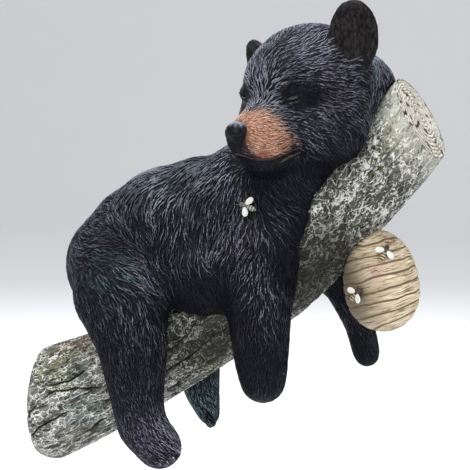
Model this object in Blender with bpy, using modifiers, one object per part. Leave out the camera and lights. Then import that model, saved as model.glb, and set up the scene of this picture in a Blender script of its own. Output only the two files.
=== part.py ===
"""Garden sculpture: a bear cub asleep along a branch, with a hanging hive and three bees.

Metres, +Z up. The origin is the centre of the branch's cut end, a flat face in the plane X = 0 that is fastened to
an upright. From there the branch climbs along +X. The cub's near side faces -Y.
"""

import math

import bmesh
import bpy
import numpy as np
from mathutils import Matrix, Vector, noise
from mathutils.bvhtree import BVHTree

# The branch: a curve that leaves its cut end at ROOT_SLOPE and steepens towards its sawn tip.
BRANCH_REACH = 0.3300
BRANCH_RISE = 0.254
ROOT_SLOPE = math.radians(18.8)
ROOT_RADIUS = 0.0425
ROOT_FLARE = 0.0095  # added at the cut end, gone at the middle of the branch
TIP_RADIUS = 0.0370
SWELL = 0.0050  # the branch is this much thicker under the cub's forelegs
SWELL_PLACE = 0.64
SWELL_REACH = 0.12
ROOT_ROUNDING = 0.009  # how far the rim of the cut end is rounded off
BARK_DEPTH = 0.0034  # deepest crack
BARK_SKIN = 0.0005  # the ridges stay this far inside the smooth branch that the cub and the hive are fitted to
PLATE_LENGTH = 0.034
PLATE_WIDTH = 0.013
BRANCH_TRIANGLES = 2100
TIP_TURN = math.radians(-11)  # the sawn tip faces this far towards the near side
TIP_PITCH = math.radians(30)  # and this far above level
TIP_RINGS = 4
TIP_RING_STEP = 0.0012
TIP_DOME = 0.0050
TIP_ROUNDED = 0.955  # share of the branch from which its rim rounds in
TIP_ROUNDING = 0.0026

# The cub. Its tables are laid out in millimetres for a cub LAID_OUT long on a branch that climbs at MODELLED_SLOPE
# under its chest, measured from the top of the branch there.
CUB_LENGTH = 0.300
LAID_OUT = 300
MODELLED_SLOPE = math.radians(35.5)
SADDLE = 0.436  # share of the branch's reach
GRAIN = 2.8  # spacing of the cub's carving, also in the tables' millimetres
SOFTENING = 28
CUB_TRIANGLES = 4600

# The hive hangs under the branch, and the bees sit on it and on the cub.
HIVE_HEIGHT = 0.0850
HIVE_DIAMETER = 0.0630
HIVE_PLACE = 0.762  # share of the branch's reach
HIVE_SUNK = 0.0096  # how deep it sits in the branch
HIVE_SIDE = -0.0050  # towards the near side
HIVE_LEAN = math.radians(-9)
HIVE_WRAPS = 9
WRAP_DEPTH = 0.0011
DOOR_RADIUS = 0.0020
DOOR_DEPTH = 0.0040
BEE_LENGTH = 0.0150
BEE_TRIANGLES = 230
BEE_WINGSPAN = 0.0190

CLEARANCE = 0.0003  # between pieces that touch

# Torso masses: centre, radii.
MASSES = {
    "rump": ((-45, 0, 18), (51, 56, 50)),
    "hips": ((-25, 0, 35), (54, 56, 54)),
    "loin": ((-3, 0, 44), (58, 58, 60)),
    "chest": ((53, -2, 58), (58, 56, 58)),
    "upper chest": ((93, -16, 64), (42, 40, 44)),
    "near flank": ((37, -38, 16), (46, 24, 36)),
    "far flank": ((37, 36, 16), (46, 24, 36)),
    "withers": ((26, 0, 79), (42, 40, 33)),
    "nape": ((150, 8, 162), (41, 38, 41)),
}
# Limbs and neck: points with a radius at each.
LIMBS = {
    "neck": (((66, -3, 72), 52), ((104, -6, 106), 45), ((118, -10, 150), 50)),
    "near hind leg": (((-37, -34, -3), 42), ((-23, -50, -43), 30), ((-18, -54, -89), 22.5), ((-14, -56, -111), 21), ((3, -60, -127), 20)),
    "far hind leg": (((-33, 38, 0), 42), ((3, 50, -45), 26), ((7, 52, -84), 19), ((9, 53, -103), 16.5), ((16, 54, -125), 11)),
    "near foreleg": (((80, -34, 34), 40), ((86, -50, -17), 26), ((88, -52, -50), 23), ((90, -54, -68), 20)),
    "far foreleg": (((95, 36, 44), 37), ((137, 47, 4), 18.5), ((153, 50, -37), 13.5), ((159, 50, -62), 13)),
}
# The head has its own axes: forward, to the cub's left and up, turned so that it looks over its left shoulder.
HEAD_PLACE = (122, -12, 165)
HEAD_TURN = math.radians(-123)
HEAD_NOD = math.radians(12)
HEAD_MASSES = {
    "skull": ((0, 0, 2), (56, 60, 56.5)),
    "brow": ((24, 0, 18), (36, 40, 32)),
    "left cheek": ((16, 30, -22), (36, 32, 34)),
    "right cheek": ((16, -30, -22), (36, 32, 34)),
    "jaw": ((56, 0, -40), (28, 20, 14)),
}
LIDS = ((42, 27.5, 10), (11, 12, 8))
MUZZLE = (((34, 0, -14), 34), ((60, 1, -19), 26), ((77, 0, -19), 20))
NOSE = ((90, 0, -11), (9, 12, 9))
# The ears are discs across the forward axis: place, radii, turned outwards, tipped outwards. The right one lies lower.
EARS = {
    1: ((0, 54, 46), (8, 22, 32), math.radians(24), math.radians(-10)),
    -1: ((2, -57, 28), (8, 19, 21), math.radians(20), math.radians(-38)),
}
EAR_HOLLOW = 0.76  # of the ear's own radii
MOUTH = ((45, -25, -35), (67, -17, -41), (81, 0, -31), (67, 17, -41), (45, 25, -35))
NOSTRIL = ((99, 5.5, -13), 2.4)
MOUTH_LINE = 1.5
EYE_PLACE = (50, 27.5, 8.5)
EYE_LINE = 1.2
# Toes of the hind feet: the middle toe, the step to the next one across the foot, and their radius.
TOES = {
    "near hind foot": ((6, -63, -132), (6.4, -4.8, 2.0), 7.6),
    "far hind foot": ((13, 50, -120), (3.6, -4.2, -4.2), 6.2),
}


def placed(name, mesh, collection, matrix=None):
    obj = bpy.data.objects.new(name, mesh)
    collection.objects.link(obj)
    if matrix is not None:
        obj.matrix_world = matrix
    return obj


def new_collection(name):
    collection = bpy.data.collections.new(name)
    bpy.context.scene.collection.children.link(collection)
    return collection


def material(name, colour, roughness, metallic=0.0):
    made = bpy.data.materials.new(name)
    made.use_nodes = True
    shader = made.node_tree.nodes["Principled BSDF"]
    shader.inputs["Base Color"].default_value = (*colour, 1)
    shader.inputs["Roughness"].default_value = roughness
    shader.inputs["Metallic"].default_value = metallic
    return made


def evaluated_copy(obj):
    bpy.context.view_layer.update()
    graph = bpy.context.evaluated_depsgraph_get()
    return bpy.data.meshes.new_from_object(obj.evaluated_get(graph), depsgraph=graph)


def surface_of(obj):
    """A search tree of the object's evaluated surface, in world space."""
    mesh = evaluated_copy(obj)
    mesh.transform(obj.matrix_world)
    tree = BVHTree.FromPolygons([v.co.copy() for v in mesh.vertices], [p.vertices[:] for p in mesh.polygons])
    bpy.data.meshes.remove(mesh)
    return tree


def weld(mesh):
    """Joins a tube's caps to its sides."""
    body = bmesh.new()
    body.from_mesh(mesh)
    bmesh.ops.remove_doubles(body, verts=body.verts, dist=1e-6)
    bmesh.ops.recalc_face_normals(body, faces=body.faces)
    body.to_mesh(mesh)
    body.free()


def as_cutter(obj):
    obj.hide_render = True
    obj.display_type = "WIRE"
    return obj


def cut(obj, cutter):
    modifier = obj.modifiers.new("Cut", "BOOLEAN")
    modifier.operation = "DIFFERENCE"
    modifier.solver = "EXACT"
    modifier.object = cutter


# Branch


def branch_point(t):
    """The branch's axis, a curve with three control points, also a little beyond both ends."""
    middle = Vector((BRANCH_REACH / 2, 0, math.tan(ROOT_SLOPE) * BRANCH_REACH / 2))
    tip = Vector((BRANCH_REACH, 0, BRANCH_RISE))
    return 2 * t * (1 - t) * middle + t * t * tip


def branch_direction(t):
    step = 1e-3
    return (branch_point(t + step) - branch_point(t - step)).normalized()


def branch_up(t):
    """Square to the axis, away from its underside."""
    along = branch_direction(t)
    return Vector((-along.z, 0, along.x))


def branch_radius(t):
    flare = ROOT_FLARE * max(0.0, 1 - 2.6 * t) ** 2 if t > 0 else ROOT_FLARE
    swell = SWELL * math.exp(-((t - SWELL_PLACE) / SWELL_REACH) ** 2)
    return ROOT_RADIUS + (TIP_RADIUS - ROOT_RADIUS) * t + flare + swell


def branch_tube(name, grown, sides, rings, collection):
    """A tube along the branch and past both of its ends. Its flats lie outside the radius and grown."""
    curve = bpy.data.curves.new(name, "CURVE")
    curve.dimensions = "3D"
    curve.bevel_depth = 1.0
    curve.bevel_resolution = (sides - 4) // 2
    curve.use_fill_caps = True
    spline = curve.splines.new("POLY")
    spline.points.add(rings - 1)
    outside = 1 / math.cos(math.pi / sides)
    for i, point in enumerate(spline.points):
        t = -0.12 + 1.24 * i / (rings - 1)
        point.co = (*branch_point(t), 1)
        point.radius = (branch_radius(t) + grown) * outside
    tube = placed(name, curve, collection)
    mesh = evaluated_copy(tube)
    weld(mesh)
    bpy.data.objects.remove(tube)
    return placed(name, mesh, collection)


def crack_depth(along, around, radius):
    """How deep the bark is at a place on it, 0 on a plate and 1 in a crack. Plates are long near the cut end and
    crumple towards the tip."""
    crumpled = min(max((along - 0.16) / 0.10, 0), 1)
    length = PLATE_LENGTH * (1 - 0.55 * crumpled)
    width = PLATE_WIDTH * (1 + 0.25 * crumpled)
    turn = around / radius
    place = Vector((along / length, radius * math.cos(turn) / width, radius * math.sin(turn) / width))
    wander = 0.35 * noise.noise(place * 0.9)
    distances, _ = noise.voronoi(place + Vector((wander, wander, -wander)))
    edge = distances[1] - distances[0]
    crack = max(0.0, 1 - edge / 0.30)
    return min(1.0, 0.85 * crack + 0.25 * (0.5 + 0.5 * noise.noise(place * 2.3)))


def make_branch(collection):
    """Bark is carved inwards from a smooth tube, so that whatever fits the tube fits the bark."""
    branch = branch_tube("branch", 0.0, 60, 108, collection)
    mesh = branch.data
    steps = np.linspace(-0.12, 1.12, 1241)
    axis = np.array([branch_point(t) for t in steps])
    lengths = np.concatenate([[0], np.cumsum(np.linalg.norm(np.diff(axis, axis=0), axis=1))])
    lengths -= np.interp(0, steps, lengths)
    for vertex in mesh.vertices:
        nearest = int(np.argmin(((axis - np.array(vertex.co)) ** 2).sum(axis=1)))
        t = float(steps[nearest])
        centre = branch_point(t)
        out = vertex.co - centre
        if out.length < 0.5 * branch_radius(t):
            continue
        radius = branch_radius(t)
        around = math.atan2(out.y, out.dot(branch_up(t))) * radius
        depth = BARK_DEPTH * crack_depth(float(lengths[nearest]), around, radius)
        end = max(0.0, 1 - max(vertex.co.x, 0) / (2.2 * ROOT_ROUNDING))
        low = 0.5 - 0.5 * out.normalized().dot(branch_up(t))
        depth += ROOT_ROUNDING * (0.25 + 0.95 * low) * end ** 2
        tip = max(0.0, (t - TIP_ROUNDED) / (1 - TIP_ROUNDED))
        depth += TIP_ROUNDING * min(tip, 1.5) ** 2
        vertex.co = centre + out.normalized() * (radius - BARK_SKIN - depth)
    decimate = branch.modifiers.new("Fewer faces", "DECIMATE")
    decimate.ratio = BRANCH_TRIANGLES / sum(len(p.vertices) - 2 for p in mesh.polygons)
    reduced = evaluated_copy(branch)
    branch.modifiers.clear()
    branch.data = reduced
    bpy.data.meshes.remove(mesh)
    saw_ends(reduced)
    return branch


def cap(body, plane_co, plane_no):
    """Saws off what is beyond the plane and closes the cut with one face."""
    everything = body.verts[:] + body.edges[:] + body.faces[:]
    bmesh.ops.bisect_plane(body, geom=everything, dist=1e-6, plane_co=plane_co, plane_no=plane_no, clear_outer=True)
    open_edges = [e for e in body.edges if e.is_boundary]
    return bmesh.ops.contextual_create(body, geom=open_edges)["faces"][0]


def saw_ends(mesh):
    """A flat cut at the fastened end. The tip's cut shows rings: its face is drawn in step by step, each step raised
    or lowered, on a low dome."""
    body = bmesh.new()
    body.from_mesh(mesh)
    cap(body, Vector((0, 0, 0)), Vector((-1, 0, 0)))
    level_part = math.cos(TIP_PITCH)
    sawn = Vector((level_part * math.cos(TIP_TURN), level_part * math.sin(TIP_TURN), math.sin(TIP_PITCH)))
    face = cap(body, branch_point(1.0), sawn)
    loop = face.edges[:]
    centre = face.calc_center_median()
    bmesh.ops.delete(body, geom=[face], context="FACES_ONLY")
    height = 0.0
    for ring in range(1, TIP_RINGS + 1):
        share = ring / (TIP_RINGS + 1)
        level = TIP_DOME * (1 - (1 - share) ** 2) + (TIP_RING_STEP if ring % 2 else -TIP_RING_STEP)
        grown = bmesh.ops.extrude_edge_only(body, edges=loop)["geom"]
        loop = [e for e in grown if isinstance(e, bmesh.types.BMEdge)]
        for vertex in {v for e in loop for v in e.verts}:
            flat = vertex.co - centre - sawn * height
            vertex.co = centre + flat * (1 - share) / (1 - (ring - 1) / (TIP_RINGS + 1)) + sawn * level
        loop = [e for e in loop if e.is_boundary]
        height = level
    bmesh.ops.contextual_create(body, geom=loop)
    bmesh.ops.triangulate(body, faces=[f for f in body.faces if len(f.verts) > 4])
    bmesh.ops.recalc_face_normals(body, faces=body.faces)
    body.to_mesh(mesh)
    body.free()


# Cub


def add_ball(body, centre, radii, matrix=None, segments=24):
    made = Matrix.Translation(centre) @ Matrix.Diagonal((*radii, 1))
    if matrix is not None:
        made = matrix @ made
    bmesh.ops.create_uvsphere(body, u_segments=segments, v_segments=segments // 2, radius=1, matrix=made)


def add_limb(body, points, matrix=None):
    """Balls at the points with tapered lengths between them."""
    for centre, radius in points:
        add_ball(body, centre, (radius,) * 3, matrix)
    for (a, radius_a), (b, radius_b) in zip(points, points[1:]):
        a, b = Vector(a), Vector(b)
        along = b - a
        turn = along.to_track_quat("Z", "Y").to_matrix().to_4x4()
        made = Matrix.Translation((a + b) / 2) @ turn
        if matrix is not None:
            made = matrix @ made
        bmesh.ops.create_cone(body, cap_ends=True, segments=24, radius1=radius_a, radius2=radius_b, depth=along.length, matrix=made)


def cub_matrix():
    """From the cub's tables to the world: millimetres at LAID_OUT, from the top of the branch at the saddle."""
    along = branch_direction(SADDLE)
    slope = math.atan2(along.z, along.x)
    seat = branch_point(SADDLE) + branch_up(SADDLE) * branch_radius(SADDLE)
    return Matrix.Translation(seat) @ Matrix.Rotation(MODELLED_SLOPE - slope, 4, "Y") @ Matrix.Scale(CUB_LENGTH / LAID_OUT, 4)


def head_matrix():
    return Matrix.Translation(HEAD_PLACE) @ Matrix.Rotation(HEAD_TURN, 4, "Z") @ Matrix.Rotation(HEAD_NOD, 4, "Y")


def ear_matrix(side):
    """For the head's left ear with side 1 and its right ear with -1: the disc of the ear lies across the forward axis."""
    place, _, turn, tilt = EARS[side]
    return head_matrix() @ Matrix.Translation(place) @ Matrix.Rotation(side * turn, 4, "Z") @ Matrix.Rotation(side * tilt, 4, "X")


def mesh_of(name, body, scale_matrix):
    mesh = bpy.data.meshes.new(name)
    body.transform(scale_matrix)
    body.to_mesh(mesh)
    body.free()
    return mesh


def groove(name, points, radius, surface, inside, world, collection):
    """A thin tube along the points as they lie on the surface, seen from inside the head: what carves a line. A point
    with no surface near it, as where the jaw rests on the chest, is passed over."""
    centre = world @ inside
    places = []
    for point in points:
        wanted = world @ point
        hit, _, _, _ = surface.ray_cast(centre, (wanted - centre).normalized())
        if hit and (hit - wanted).length < 0.04 * CUB_LENGTH:
            places.append(hit)
    curve = bpy.data.curves.new(name, "CURVE")
    curve.dimensions = "3D"
    curve.bevel_depth = radius
    curve.bevel_resolution = 1
    curve.use_fill_caps = True
    spline = curve.splines.new("POLY")
    spline.points.add(len(places) - 1)
    for point, place in zip(spline.points, places):
        point.co = (*place, 1)
    tube = placed(name, curve, collection)
    mesh = evaluated_copy(tube)
    weld(mesh)
    bpy.data.objects.remove(tube)
    return as_cutter(placed(name, mesh, collection))


def smooth_points(corners, count):
    """Points along a smooth curve through the corners."""
    corners = [np.array(c, float) for c in corners]
    ends = [2 * corners[0] - corners[1]] + corners + [2 * corners[-1] - corners[-2]]
    found = []
    for i in range(count):
        s = i / (count - 1) * (len(corners) - 1)
        k = min(int(s), len(corners) - 2)
        u = s - k
        a, b, c, d = ends[k:k + 4]
        found.append(0.5 * (2 * b + (c - a) * u + (2 * a - 5 * b + 4 * c - d) * u ** 2 + (3 * b - a - 3 * c + d) * u ** 3))
    return found


def join(obj, softening):
    """Overlapping closed shapes made one skin, with the creases between them softened."""
    remesh = obj.modifiers.new("Join", "REMESH")
    remesh.mode = "VOXEL"
    remesh.voxel_size = GRAIN * CUB_LENGTH / LAID_OUT
    smooth = obj.modifiers.new("Soften", "SMOOTH")
    smooth.factor = 0.5
    smooth.iterations = softening


def add_toes(body):
    for middle, step, radius in TOES.values():
        for i in (-2, -1, 0, 1, 2):
            add_ball(body, Vector(middle) + i * Vector(step), (radius,) * 3, segments=12)


def make_cub(collection, cutters):
    world = cub_matrix()
    unit = CUB_LENGTH / LAID_OUT
    head = head_matrix()
    local = Matrix.Scale(unit, 4)
    frame = world @ local.inverted()
    body = bmesh.new()
    for centre, radii in MASSES.values():
        add_ball(body, centre, radii)
    for points in LIMBS.values():
        add_limb(body, points)
    for centre, radii in HEAD_MASSES.values():
        add_ball(body, centre, radii, head)
    add_limb(body, MUZZLE, head)
    cub = placed("bear_cub", mesh_of("bear_cub", body, local), collection, frame)
    join(cub, SOFTENING)
    softened = evaluated_copy(cub)
    cub.modifiers.clear()
    body = bmesh.new()
    body.from_mesh(softened)
    body.transform(local.inverted())
    add_ball(body, NOSE[0], NOSE[1], head)
    for side in (1, -1):
        add_ball(body, (0, 0, 0), EARS[side][1], ear_matrix(side))
        add_ball(body, Vector(LIDS[0]) * Vector((1, side, 1)), LIDS[1], head)
    add_toes(body)
    old, cub.data = cub.data, mesh_of("bear_cub", body, local)
    bpy.data.meshes.remove(old)
    bpy.data.meshes.remove(softened)
    join(cub, 4)
    surface = surface_of(cub)
    for side in (1, -1):
        hollow = bmesh.new()
        thick, wide, high = EARS[side][1]
        add_ball(hollow, (thick, 0, 0.1 * high), (1.15 * thick, EAR_HOLLOW * wide, EAR_HOLLOW * high), ear_matrix(side), 16)
        cut(cub, as_cutter(placed("ear_hollow", mesh_of("ear_hollow", hollow, local), cutters, frame)))
        eye = [head @ (Vector(EYE_PLACE) * Vector((1, side, 1)) + Vector((-1.5 * k, side * 2.4 * k, 0.75 * k - 1.2 * math.cos(k / 2)))) for k in range(-3, 4)]
        cut(cub, groove("eye_line", eye, EYE_LINE * unit, surface, head @ Vector((0, side * 12, 0)), world, cutters))
        pit = bmesh.new()
        add_ball(pit, Vector(NOSTRIL[0]) * Vector((1, side, 1)), (2.2 * NOSTRIL[1], NOSTRIL[1], 0.8 * NOSTRIL[1]), head, 10)
        cut(cub, as_cutter(placed("nostril", mesh_of("nostril", pit, local), cutters, frame)))
    mouth = [head @ Vector(p) for p in smooth_points(MOUTH, 15)]
    cut(cub, groove("mouth_line", mouth, MOUTH_LINE * unit, surface, head @ Vector((44, 0, -26)), world, cutters))
    decimate = cub.modifiers.new("Fewer faces", "DECIMATE")
    faces = evaluated_copy(cub)
    count = sum(len(p.vertices) - 2 for p in faces.polygons)
    bpy.data.meshes.remove(faces)
    decimate.ratio = min(1.0, CUB_TRIANGLES / count)
    cut(cub, as_cutter(branch_tube("branch_seat", CLEARANCE, 24, 32, cutters)))
    return cub


# Hive and bees


def hive_place():
    """Under the branch, sunk into it by HIVE_SUNK."""
    down = -branch_up(HIVE_PLACE)
    reach = math.hypot(HIVE_DIAMETER / 2 * down.x, HIVE_HEIGHT / 2 * down.z)
    centre = branch_point(HIVE_PLACE) + down * (branch_radius(HIVE_PLACE) + reach - HIVE_SUNK)
    return centre + Vector((0, HIVE_SIDE, 0))


def hive_radius(height):
    """Radius at a height from -1 at its foot to 1 at its top: an egg with its blunt end down, wound in wraps."""
    egg = math.sqrt(max(0.0, 1 - abs(height) ** 2.3)) * (1 - 0.07 * height)
    wrap = 0.5 - 0.5 * math.cos(2 * math.pi * HIVE_WRAPS * (height + 1) / 2)
    return HIVE_DIAMETER / 2 * egg - WRAP_DEPTH * (1 - wrap) * min(1.0, 2.5 * egg)


def make_hive(collection, cutters):
    steps = 3 * HIVE_WRAPS
    outline = bmesh.new()
    rows = [1 - 2 * i / steps for i in range(steps + 1)]
    points = []
    for i, height in enumerate(rows):
        end = i in (0, steps)
        points.append(outline.verts.new((0 if end else max(hive_radius(height), 0.002), 0, height * HIVE_HEIGHT / 2)))
    for a, b in zip(points, points[1:]):
        outline.edges.new((a, b))
    mesh = bpy.data.meshes.new("hive")
    outline.to_mesh(mesh)
    outline.free()
    frame = Matrix.Translation(hive_place()) @ Matrix.Rotation(HIVE_LEAN, 4, "Y")
    hive = placed("hive", mesh, collection, frame)
    screw = hive.modifiers.new("Turn", "SCREW")
    screw.steps = screw.render_steps = 24
    screw.use_merge_vertices = True
    screw.merge_threshold = 0.0001
    cut(hive, as_cutter(branch_tube("hive_seat", CLEARANCE, 24, 32, cutters)))
    door = bmesh.new()
    bmesh.ops.create_cone(door, cap_ends=True, segments=12, radius1=DOOR_RADIUS, radius2=DOOR_RADIUS, depth=2 * DOOR_DEPTH)
    surface = surface_of(hive)
    turn = math.radians(-89)
    out = Vector((math.cos(turn), math.sin(turn), 0))
    start = hive_place() + Vector((0, 0, 0.13 * HIVE_HEIGHT))
    hit, normal, _, _ = surface.ray_cast(start + out * HIVE_DIAMETER, -out)
    matrix = Matrix.Translation(hit) @ normal.to_track_quat("Z", "Y").to_matrix().to_4x4()
    cut(hive, as_cutter(placed("hive_door", mesh_of("hive_door", door, Matrix.Identity(4)), cutters, matrix)))
    return hive


def make_bee(name, surface, start, out, heading, collection):
    """A bee whose body rests on what lies under the start point, seen against the direction out."""
    hit, normal, _, _ = surface.ray_cast(start, -out)
    up = normal.normalized()
    ahead = (heading - up * heading.dot(up)).normalized()
    side = up.cross(ahead)
    frame = Matrix((ahead, side, up)).transposed().to_4x4()
    size = BEE_LENGTH
    body = bmesh.new()
    add_ball(body, (0.33 * size, 0, 0.20 * size), (0.15 * size, 0.14 * size, 0.14 * size), segments=10)
    add_ball(body, (0.12 * size, 0, 0.23 * size), (0.20 * size, 0.18 * size, 0.18 * size), segments=10)
    add_ball(body, (-0.22 * size, 0, 0.19 * size), (0.30 * size, 0.17 * size, 0.16 * size), segments=10)
    for hand in (1, -1):
        wing = Matrix.Translation((0.06 * size, 0, 0.36 * size)) @ Matrix.Rotation(hand * math.radians(122), 4, "Z")
        length = BEE_WINGSPAN / 2 / math.sin(math.radians(58))
        add_ball(body, (length * 0.5, 0, 0), (length * 0.5, 0.22 * size, 0.055 * size), wing, segments=10)
    bee = placed(name, mesh_of(name, body, Matrix.Identity(4)), collection)
    remesh = bee.modifiers.new("Join", "REMESH")
    remesh.mode = "VOXEL"
    remesh.voxel_size = 0.00055
    joined = evaluated_copy(bee)
    bee.modifiers.clear()
    count = sum(len(p.vertices) - 2 for p in joined.polygons)
    old, bee.data = bee.data, joined
    bpy.data.meshes.remove(old)
    decimate = bee.modifiers.new("Fewer faces", "DECIMATE")
    decimate.ratio = min(1.0, BEE_TRIANGLES / count)
    bee.matrix_world = Matrix.Translation(hit) @ frame
    mesh = evaluated_copy(bee)
    room = []
    for vertex in mesh.vertices:
        at = bee.matrix_world @ vertex.co
        below, _, _, _ = surface.ray_cast(at + up * size, -up)
        if below:
            room.append((at - below).dot(up))
    bpy.data.meshes.remove(mesh)
    bee.matrix_world = Matrix.Translation(up * (CLEARANCE - min(room))) @ bee.matrix_world
    return bee


def main():
    for obj in list(bpy.data.objects):
        bpy.data.objects.remove(obj)
    collection = new_collection("bear_cub_on_branch")
    cutters = new_collection("cutters")
    branch = make_branch(collection)
    cub = make_cub(collection, cutters)
    hive = make_hive(collection, cutters)
    world = cub_matrix()
    hive_surface = surface_of(hive)
    cub_surface = surface_of(cub)
    toward = Vector((0.24, -0.97, 0)).normalized()
    centre = hive_place()
    upper = centre + Vector((0.0, 0, 0.30 * HIVE_HEIGHT)) + toward * HIVE_DIAMETER
    lower = centre + Vector((-0.33 * HIVE_DIAMETER, 0, -0.10 * HIVE_HEIGHT)) + toward * HIVE_DIAMETER
    bees = [
        make_bee("bee_on_shoulder", cub_surface, world @ Vector((101, -150, 74)), toward, Vector((-0.94, 0, 0.34)), collection),
        make_bee("bee_on_hive_top", hive_surface, upper, toward, Vector((0.45, 0, 0.9)), collection),
        make_bee("bee_on_hive_side", hive_surface, lower, toward, Vector((0.7, 0, 0.7)), collection),
    ]
    fur = material("black_fur", (0.020, 0.021, 0.028), 0.42)
    bark = material("grey_bark", (0.22, 0.22, 0.17), 0.85)
    straw = material("hive_straw", (0.52, 0.42, 0.26), 0.75)
    bee_paint = material("bee_brown", (0.16, 0.12, 0.07), 0.5)
    for obj, paint in [(cub, fur), (branch, bark), (hive, straw)] + [(bee, bee_paint) for bee in bees]:
        obj.data.materials.clear()
        obj.data.materials.append(paint)
        obj.data.shade_smooth()
    root = bpy.data.objects.new("sculpture", None)
    collection.objects.link(root)
    bpy.context.view_layer.update()
    for obj in [branch, cub, hive, *bees]:
        obj.parent = root


main()
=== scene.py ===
"""Looks for the garden sculpture: the cub's carved fur, its face and claws, the branch's bark, the wound hive, the
bees, and a plain studio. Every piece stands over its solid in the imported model."""

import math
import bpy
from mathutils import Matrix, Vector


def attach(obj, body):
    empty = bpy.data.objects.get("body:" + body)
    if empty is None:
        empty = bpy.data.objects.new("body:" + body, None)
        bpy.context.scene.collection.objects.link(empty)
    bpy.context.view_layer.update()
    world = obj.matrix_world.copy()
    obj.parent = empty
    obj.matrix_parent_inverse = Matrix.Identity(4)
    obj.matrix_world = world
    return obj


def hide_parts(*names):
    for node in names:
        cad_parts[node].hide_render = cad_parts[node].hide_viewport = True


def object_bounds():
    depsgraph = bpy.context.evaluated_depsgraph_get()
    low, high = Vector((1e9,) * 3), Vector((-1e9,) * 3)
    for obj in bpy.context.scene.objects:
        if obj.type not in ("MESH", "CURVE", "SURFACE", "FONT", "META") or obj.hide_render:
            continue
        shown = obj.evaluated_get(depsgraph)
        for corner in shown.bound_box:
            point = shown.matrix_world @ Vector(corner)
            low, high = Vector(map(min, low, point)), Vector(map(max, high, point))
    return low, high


bl_info = {
    "name": "Bear Cub on a Branch",
    "version": (1, 0, 0),
    "blender": (4, 5, 0),
    "location": "3D View > Sidebar > Sculpture",
    "description": "Dresses the packed garden sculpture in carved and painted fur, bark and straw",
    "category": "Object",
}

import bpy
import numpy as np
from bpy.props import FloatProperty, FloatVectorProperty, IntProperty, PointerProperty
from bpy.types import Operator, Panel, PropertyGroup
from mathutils import Matrix, Vector, noise
from mathutils.bvhtree import BVHTree

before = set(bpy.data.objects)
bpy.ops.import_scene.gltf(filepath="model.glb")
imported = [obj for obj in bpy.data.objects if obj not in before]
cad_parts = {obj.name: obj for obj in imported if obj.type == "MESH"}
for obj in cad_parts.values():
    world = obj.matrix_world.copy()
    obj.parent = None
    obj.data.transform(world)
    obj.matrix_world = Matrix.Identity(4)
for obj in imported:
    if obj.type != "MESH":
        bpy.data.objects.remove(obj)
CAD_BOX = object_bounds()

# The branch's curve and radius, in metres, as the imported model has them.
REACH, RISE, ROOT_SLOPE = 0.3300, 0.254, math.radians(18.8)
ROOT_RADIUS, ROOT_FLARE, TIP_RADIUS = 0.0425, 0.0095, 0.0370
SWELL, SWELL_PLACE, SWELL_REACH = 0.0050, 0.64, 0.12
SADDLE = 0.436
SAWN_FACING = Vector((math.cos(math.radians(30)) * math.cos(math.radians(-11)), math.cos(math.radians(30)) * math.sin(math.radians(-11)), math.sin(math.radians(30))))

# The cub is laid out in millimetres from the top of the branch at the saddle, and its head on axes of its own:
# forward, to its left, up.
HEAD_PLACE, HEAD_TURN, HEAD_NOD = (122, -12, 165), math.radians(-123), math.radians(12)
EARS = {1: ((0, 54, 46), (8, 22, 32), math.radians(24), math.radians(-10)), -1: ((2, -57, 28), (8, 19, 21), math.radians(20), math.radians(-38))}
NOSE, NOSE_SIZE = (89.4, 0.6, -12.3), (8.9, 10.9, 9.9)
EYE = (50, 28, 7.5)
EYE_SLIT = ((54.1, 21.1, 5.6), (52.4, 23.9, 5.6), (51.5, 28.6, 5.9), (50.0, 32.9, 7.2), (47.7, 36.6, 9.2))
LID_CREASE = ((53.2, 22.9, 8.9), (52.3, 25.5, 9.5), (52.0, 30.0, 10.1), (49.7, 33.4, 10.9), (46.4, 37.1, 12.2))
LOWER_LID = ((53.9, 22.0, 3.9), (51.3, 26.9, 3.7), (49.3, 31.8, 4.9), (47.6, 36.1, 7.0))
MOUTH = ((50.0, 29.6, -31.7), (52.7, 25.5, -32.2), (58.9, 22.2, -34.0), (70.0, 17.9, -36.7), (79.3, 12.8, -35.9), (87.5, 8.2, -32.6), (92.0, 4.5, -28.5), (93.5, 0, -27.5))
LOWER_LIP = ((49, 25.5, -36), (57, 22, -40), (67, 17, -42.5), (76, 9, -38), (81, 0, -33))

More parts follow.
